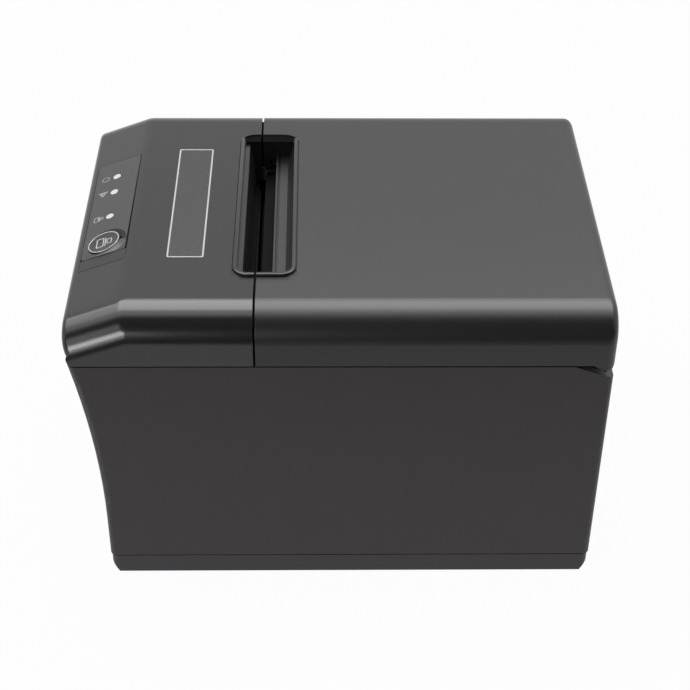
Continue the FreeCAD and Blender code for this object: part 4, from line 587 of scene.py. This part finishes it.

# Painted shade: a black sheet on the panel plate along the upper edge of its recess, for the shaded gap
# there, wider towards the button
GAP_FAR = 0.08 * MM
GAP_NEAR = 0.5 * MM
GAP_THICK = 0.03 * MM
gap = bmesh.new()
gap_line = (
    (PLATE_FAR, PLATE_UPPER),
    (PLATE_FAR, PLATE_UPPER - GAP_FAR),
    (PLATE_NEAR, PLATE_UPPER - GAP_NEAR),
    (PLATE_NEAR, PLATE_UPPER),
)
plate(gap, [Vector(point) for point in gap_line], panel_top, GAP_THICK)
piece("panel_gap_shade", gap, shade_black, "front_cover", SLANT_FRAME)

# Paper slot: a raised bead in two halves, open at the far end, with an end wall at the near end and a
# black film of painted shade on the rim floor at the far end
SEAM_Y = -29.8 * MM
SEAM_HALF = 0.4 * MM
RIM_FLOOR = 123.3 * MM
BEAD_HALF = 0.8 * MM
BEAD_ROUND = 0.45 * MM
BEAD_TOP = TOP_Z + 0.5 * MM
BEAD_CORNER = 4.6 * MM
BEAD_FRONT = -37.2 * MM
BEAD_REAR = -16.2 * MM
BEAD_NEAR = 46.3 * MM
BEAD_FAR = -49.4 * MM
BEAD_STEPS = 8
BEAD_ENDS = (0.35, 0.7, 0.92)
BEAD_END_STEP = 1.0 * MM


def swept(shape, path, profile, foot, heights):
    """A closed profile of (outward, height) points carried along a level path, scaled by heights."""
    rows = []
    for index, point in enumerate(path):
        before = path[max(index - 1, 0)]
        after = path[min(index + 1, len(path) - 1)]
        run = (after - before).normalized()
        outward = Vector((run.y, -run.x))
        flat = [(point + outward * out, foot + (up - foot) * heights[index]) for out, up in profile]
        rows.append([shape.verts.new((*spot, up)) for spot, up in flat])
    for first, second in zip(rows, rows[1:]):
        for a in range(len(profile)):
            b = (a + 1) % len(profile)
            shape.faces.new((first[a], first[b], second[b], second[a]))
    shape.faces.new(rows[0])
    shape.faces.new(rows[-1])


bead_middle = ((BEAD_NEAR + BEAD_FAR) / 2, (BEAD_FRONT + BEAD_REAR) / 2)
bead_size = (BEAD_NEAR - BEAD_FAR, BEAD_REAR - BEAD_FRONT)
bead_outline = round_box(bead_middle, bead_size, BEAD_CORNER, BEAD_STEPS)
bead_low = RIM_FLOOR + PRINT_LIFT
bead_side = BEAD_HALF - BEAD_ROUND
bead_round = [
    *arc((bead_side, BEAD_TOP - BEAD_ROUND), BEAD_ROUND, 0, 90, BEAD_STEPS // 2),
    *arc((-bead_side, BEAD_TOP - BEAD_ROUND), BEAD_ROUND, 90, 180, BEAD_STEPS // 2),
]
bead_profile = [(-BEAD_HALF, bead_low), (BEAD_HALF, bead_low), *[tuple(point) for point in bead_round]]
FILM_INNER = -45.9 * MM
FILM_OUTER = -50.55 * MM
FILM_CORNER = 0.3 * MM
NEAR_INNER = BEAD_NEAR - BEAD_HALF
NEAR_WALL = 0.6 * MM
NEAR_OUTER = 48.4 * MM
NEAR_DEPTH = 6.3 * MM
near_profile = [
    Vector((NEAR_INNER, RIM_FLOOR - NEAR_DEPTH)),
    Vector((NEAR_INNER + NEAR_WALL, RIM_FLOOR - NEAR_DEPTH)),
    Vector((NEAR_INNER + NEAR_WALL, RIM_FLOOR + PRINT_LIFT)),
    Vector((NEAR_OUTER, RIM_FLOOR + PRINT_LIFT)),
    Vector((NEAR_OUTER, RIM_FLOOR + PRINT_LIFT + PRINT_THICK)),
    Vector((NEAR_INNER, RIM_FLOOR + PRINT_LIFT + PRINT_THICK)),
]
for part, body, slot, side, edge in (
    ("rear", "paper_cover", "cover_plastic", 1, BEAD_REAR),
    ("front", "front_cover", "front_plastic", -1, BEAD_FRONT),
):
    seam_edge = SEAM_Y + side * SEAM_HALF
    corner = [point for point in bead_outline if point.x > 0 and side * (point.y - seam_edge) > 0]
    far_end = [Vector((BEAD_FAR + (1 + step) * BEAD_END_STEP, edge)) for step in range(len(BEAD_ENDS))]
    if side > 0:
        path = [Vector((BEAD_NEAR, seam_edge)), *corner, *reversed(far_end)]
        heights = [1.0] * (1 + len(corner)) + list(reversed(BEAD_ENDS))
    else:
        path = [*far_end, *corner, Vector((BEAD_NEAR, seam_edge))]
        heights = list(BEAD_ENDS) + [1.0] * (1 + len(corner))
    bead = bmesh.new()
    swept(bead, path, bead_profile, bead_low, heights)
    piece(f"slot_bead_{part}", bead, SURFACES[slot], body)
    near_end = bmesh.new()
    low, high = sorted((-seam_edge, -edge))
    plate(near_end, near_profile, low, high - low)
    piece(f"slot_end_{part}", near_end, SURFACES[slot], body, UPRIGHT)
    # Painted shade: a black film on the rim floor at the far end, where the slot's end lies in shade
    far_shade_film = bmesh.new()
    film_size = (FILM_INNER - FILM_OUTER, abs(edge - seam_edge) - BEAD_HALF)
    film_middle = ((FILM_INNER + FILM_OUTER) / 2, seam_edge + side * film_size[1] / 2)
    plate(far_shade_film, round_box(film_middle, film_size, FILM_CORNER), bead_low, PRINT_THICK)
    piece(f"slot_far_shade_{part}", far_shade_film, shade_black, body)

# Ledge along the front inside edge of the slot
LEDGE_TOP = 122.3 * MM
LEDGE_FRONT = -36.6 * MM
LEDGE_FRONT_LOW = 121.0 * MM
LEDGE_TIP = (-33.9 * MM, 119.4 * MM)
LEDGE_CHAMFER = (-34.3 * MM, 122.0 * MM)
LEDGE_REAR = -34.6 * MM
ledge_profile = (
    (LEDGE_FRONT, LEDGE_TOP),
    (LEDGE_FRONT, LEDGE_FRONT_LOW),
    LEDGE_TIP,
    LEDGE_CHAMFER,
    (LEDGE_REAR, LEDGE_TOP),
)
LEDGE_FAR = -47.9 * MM
ledge = bmesh.new()
plate(ledge, [Vector(point) for point in ledge_profile], LEDGE_FAR, NEAR_INNER - LEDGE_FAR)
piece("slot_ledge", ledge, SURFACES["front_plastic"], "front_cover", CROSSWISE)

# Painted shade: a black strip inside the seam between the two covers, on both sides of the slot, so that
# the seam reads dark
STRIP_INNER = 50.5 * MM
STRIP_OUTER = 70.9 * MM
STRIP_TOP = 122.4 * MM
STRIP_MIDDLE = 109.0 * MM
STRIP_LOW = 103.6 * MM
STRIP_LEG = 4.4 * MM
STRIP_ROUND = 10.2 * MM
STRIP_FRONT = 30.25 * MM
STRIP_THICK = 0.6 * MM
STRIP_STEPS = 10
for part, side in (("right", 1), ("left", -1)):
    bend = arc((STRIP_OUTER - STRIP_ROUND, STRIP_TOP - STRIP_ROUND), STRIP_ROUND, 90, 0, STRIP_STEPS)
    shape_line = [
        Vector((STRIP_INNER, STRIP_TOP)),
        *bend,
        Vector((STRIP_OUTER, STRIP_LOW)),
        Vector((STRIP_OUTER - STRIP_LEG, STRIP_LOW)),
        Vector((STRIP_OUTER - STRIP_LEG, STRIP_MIDDLE)),
        Vector((STRIP_INNER, STRIP_MIDDLE)),
    ]
    strip = bmesh.new()
    mirrored = [Vector((side * point.x, point.y)) for point in shape_line]
    plate(strip, mirrored, STRIP_FRONT - STRIP_THICK, STRIP_THICK)
    piece(f"seam_shade_strip_{part}", strip, shade_black, "front_cover", UPRIGHT)


# Stage: a white floor that keeps the shadow, and a white surround
def light_path_share(tree):
    """One for rays from the camera, reflections and glass, and none for the rest."""
    path = tree.nodes.new("ShaderNodeLightPath")
    total = path.outputs["Is Camera Ray"]
    for kind in ("Is Glossy Ray", "Is Transmission Ray"):
        most = tree.nodes.new("ShaderNodeMath")
        most.operation = "MAXIMUM"
        tree.links.new(total, most.inputs[0])
        tree.links.new(path.outputs[kind], most.inputs[1])
        total = most.outputs["Value"]
    return total


world = bpy.data.worlds.new("studio")
bpy.context.scene.world = world
world.use_nodes = True
tree = world.node_tree
AMBIENT = 0.4
soft = tree.nodes["Background"]
soft.inputs["Strength"].default_value = AMBIENT
soft.inputs["Color"].default_value = (1, 1, 1, 1)
shown = tree.nodes.new("ShaderNodeBackground")
shown.inputs["Color"].default_value = (1, 1, 1, 1)
blend = tree.nodes.new("ShaderNodeMixShader")
tree.links.new(light_path_share(tree), blend.inputs["Fac"])
tree.links.new(soft.outputs["Background"], blend.inputs[1])
tree.links.new(shown.outputs["Background"], blend.inputs[2])
tree.links.new(blend.outputs["Shader"], tree.nodes["World Output"].inputs["Surface"])

FLOOR_HALF = 4.0
FLOOR_GLOW = 0.965


def flat_sheet(name, corners, material):
    """A flat stage sheet through four corners."""
    mesh = bpy.data.meshes.new(name)
    mesh.from_pydata([Vector(c) for c in corners], [], [(0, 1, 2, 3)])
    mesh.materials.append(material)
    thing = bpy.data.objects.new(name, mesh)
    bpy.context.scene.collection.objects.link(thing)
    return thing


def floor_surface():
    """Pale floor: mostly white to the camera, with the shadow kept."""
    material, tree, shader, add = new_material("floor_white")
    shader.inputs["Base Color"].default_value = (0.86, 0.86, 0.86, 1)
    shader.inputs["Roughness"].default_value = 0.9
    shader.inputs["Specular IOR Level"].default_value = 0.0
    glow = add("ShaderNodeEmission", Strength=1.0)
    share = add("ShaderNodeMath", operation="MULTIPLY")
    share.inputs[1].default_value = FLOOR_GLOW
    tree.links.new(light_path_share(tree), share.inputs[0])
    mix = add("ShaderNodeMixShader")
    tree.links.new(share.outputs["Value"], mix.inputs["Fac"])
    tree.links.new(shader.outputs["BSDF"], mix.inputs[1])
    tree.links.new(glow.outputs["Emission"], mix.inputs[2])
    tree.links.new(mix.outputs["Shader"], tree.nodes["Material Output"].inputs["Surface"])
    return material


floor_turns = ((-1, -1), (1, -1), (1, 1), (-1, 1))
floor_corners = [(x * FLOOR_HALF, y * FLOOR_HALF, 0) for x, y in floor_turns]
flat_sheet("floor", floor_corners, floor_surface())

# Dark cards beside the camera, seen only in reflections
card_material = new_material("card_dark")[0]
card_shader = card_material.node_tree.nodes["Principled BSDF"]
card_shader.inputs["Base Color"].default_value = (0.03, 0.03, 0.03, 1)
card_shader.inputs["Roughness"].default_value = 0.9
card_shader.inputs["Specular IOR Level"].default_value = 0.0
CARD_NEAR = 0.265
CARD_FAR = 1.5
CARD_HALF = 3.0
CARD_FRONT = -0.24
CARD_TOP = 3.3
CARD_LIFT = 0.004
cards = (
    flat_sheet(
        "card_floor",
        (
            (CARD_NEAR, CARD_FRONT, CARD_LIFT),
            (CARD_FAR, CARD_FRONT, CARD_LIFT),
            (CARD_FAR, CARD_HALF, CARD_LIFT),
            (CARD_NEAR, CARD_HALF, CARD_LIFT),
        ),
        card_material,
    ),
    flat_sheet(
        "card_wall",
        (
            (CARD_FAR, -CARD_HALF, 0),
            (CARD_FAR, CARD_HALF, 0),
            (CARD_FAR, CARD_HALF, CARD_TOP),
            (CARD_FAR, -CARD_HALF, CARD_TOP),
        ),
        card_material,
    ),
)
for card in cards:
    card.visible_camera = False
    card.visible_diffuse = False
    card.visible_shadow = False
    card.visible_transmission = False


# Lights
def softbox(name, place, target, size, radiance, reflected=True, matte=True):
    """A rectangular lamp that faces a target, with its brightness given per area."""
    lamp = bpy.data.lights.new(name, "AREA")
    lamp.shape = "RECTANGLE"
    lamp.size, lamp.size_y = size
    lamp.energy = radiance * math.pi * size[0] * size[1]
    thing = bpy.data.objects.new(name, lamp)
    bpy.context.scene.collection.objects.link(thing)
    thing.location = place
    thing.rotation_euler = (Vector(target) - Vector(place)).to_track_quat("-Z", "Y").to_euler()
    thing.visible_camera = False
    thing.visible_glossy = reflected
    thing.visible_diffuse = matte
    return thing


MIDDLE = (0, 0, 0.1)
NOSE = (0.065, -0.085, 0.115)
softbox("key", (-0.2, -0.3, 1.3), MIDDLE, (1.2, 1.2), 2.0, reflected=False)
softbox("softbox_top", (-0.47, 0.2, 1.22), (-0.47, 0.2, 0), (1.05, 1.9), 6.5, matte=False)
softbox("softbox_low", (-0.36, -1.1, 1.22), (-0.36, -1.1, 0), (0.8, 0.7), 3.0, matte=False)
softbox("softbox_line", (-0.83, -1.1, 1.22), (-0.83, -1.1, 0), (0.13, 0.7), 7.0, matte=False)
softbox("softbox_edge", (0.24, 0.0, 1.22), (0.24, 0, 0), (0.36, 2.3), 1.5, matte=False)
softbox("softbox_front", (0.894, -0.419, 0.225), NOSE, (0.38, 0.2), 13.0, matte=False)
softbox("softbox_floor", (0.9, -0.42, 0.06), NOSE, (0.38, 0.11), 3.0, matte=False)
softbox("softbox_side", (0.72, -0.63, 0.46), NOSE, (0.3, 0.34), 2.2, matte=False)

# Camera at the photograph's view
YAW = math.radians(1.26)
PITCH = math.radians(37.76)
ROLL = math.radians(0.71)
FOCAL_PIXELS = 1596.3
FRAME_PIXELS = 690
SENSOR = 36.0
CAMERA_PLACE = (507.4 * MM, -7.9 * MM, 449.5 * MM)
CLIP_START = 0.01
CLIP_END = 50
look = Vector((-math.cos(PITCH) * math.cos(YAW), math.cos(PITCH) * math.sin(YAW), -math.sin(PITCH)))
level_right = look.cross(Vector((0, 0, 1))).normalized()
level_up = level_right.cross(look)
right = math.cos(ROLL) * level_right + math.sin(ROLL) * level_up
up = -math.sin(ROLL) * level_right + math.cos(ROLL) * level_up
camera_data = bpy.data.cameras.new("camera")
camera_data.sensor_width = SENSOR
camera_data.lens = FOCAL_PIXELS / FRAME_PIXELS * SENSOR
camera_data.clip_start = CLIP_START
camera_data.clip_end = CLIP_END
camera = bpy.data.objects.new("camera", camera_data)
bpy.context.scene.collection.objects.link(camera)
turn = Matrix((right, up, -look)).transposed().to_4x4()
camera.matrix_world = Matrix.Translation(CAMERA_PLACE) @ turn
bpy.context.scene.camera = camera
bpy.context.scene.view_settings.view_transform = "Standard"
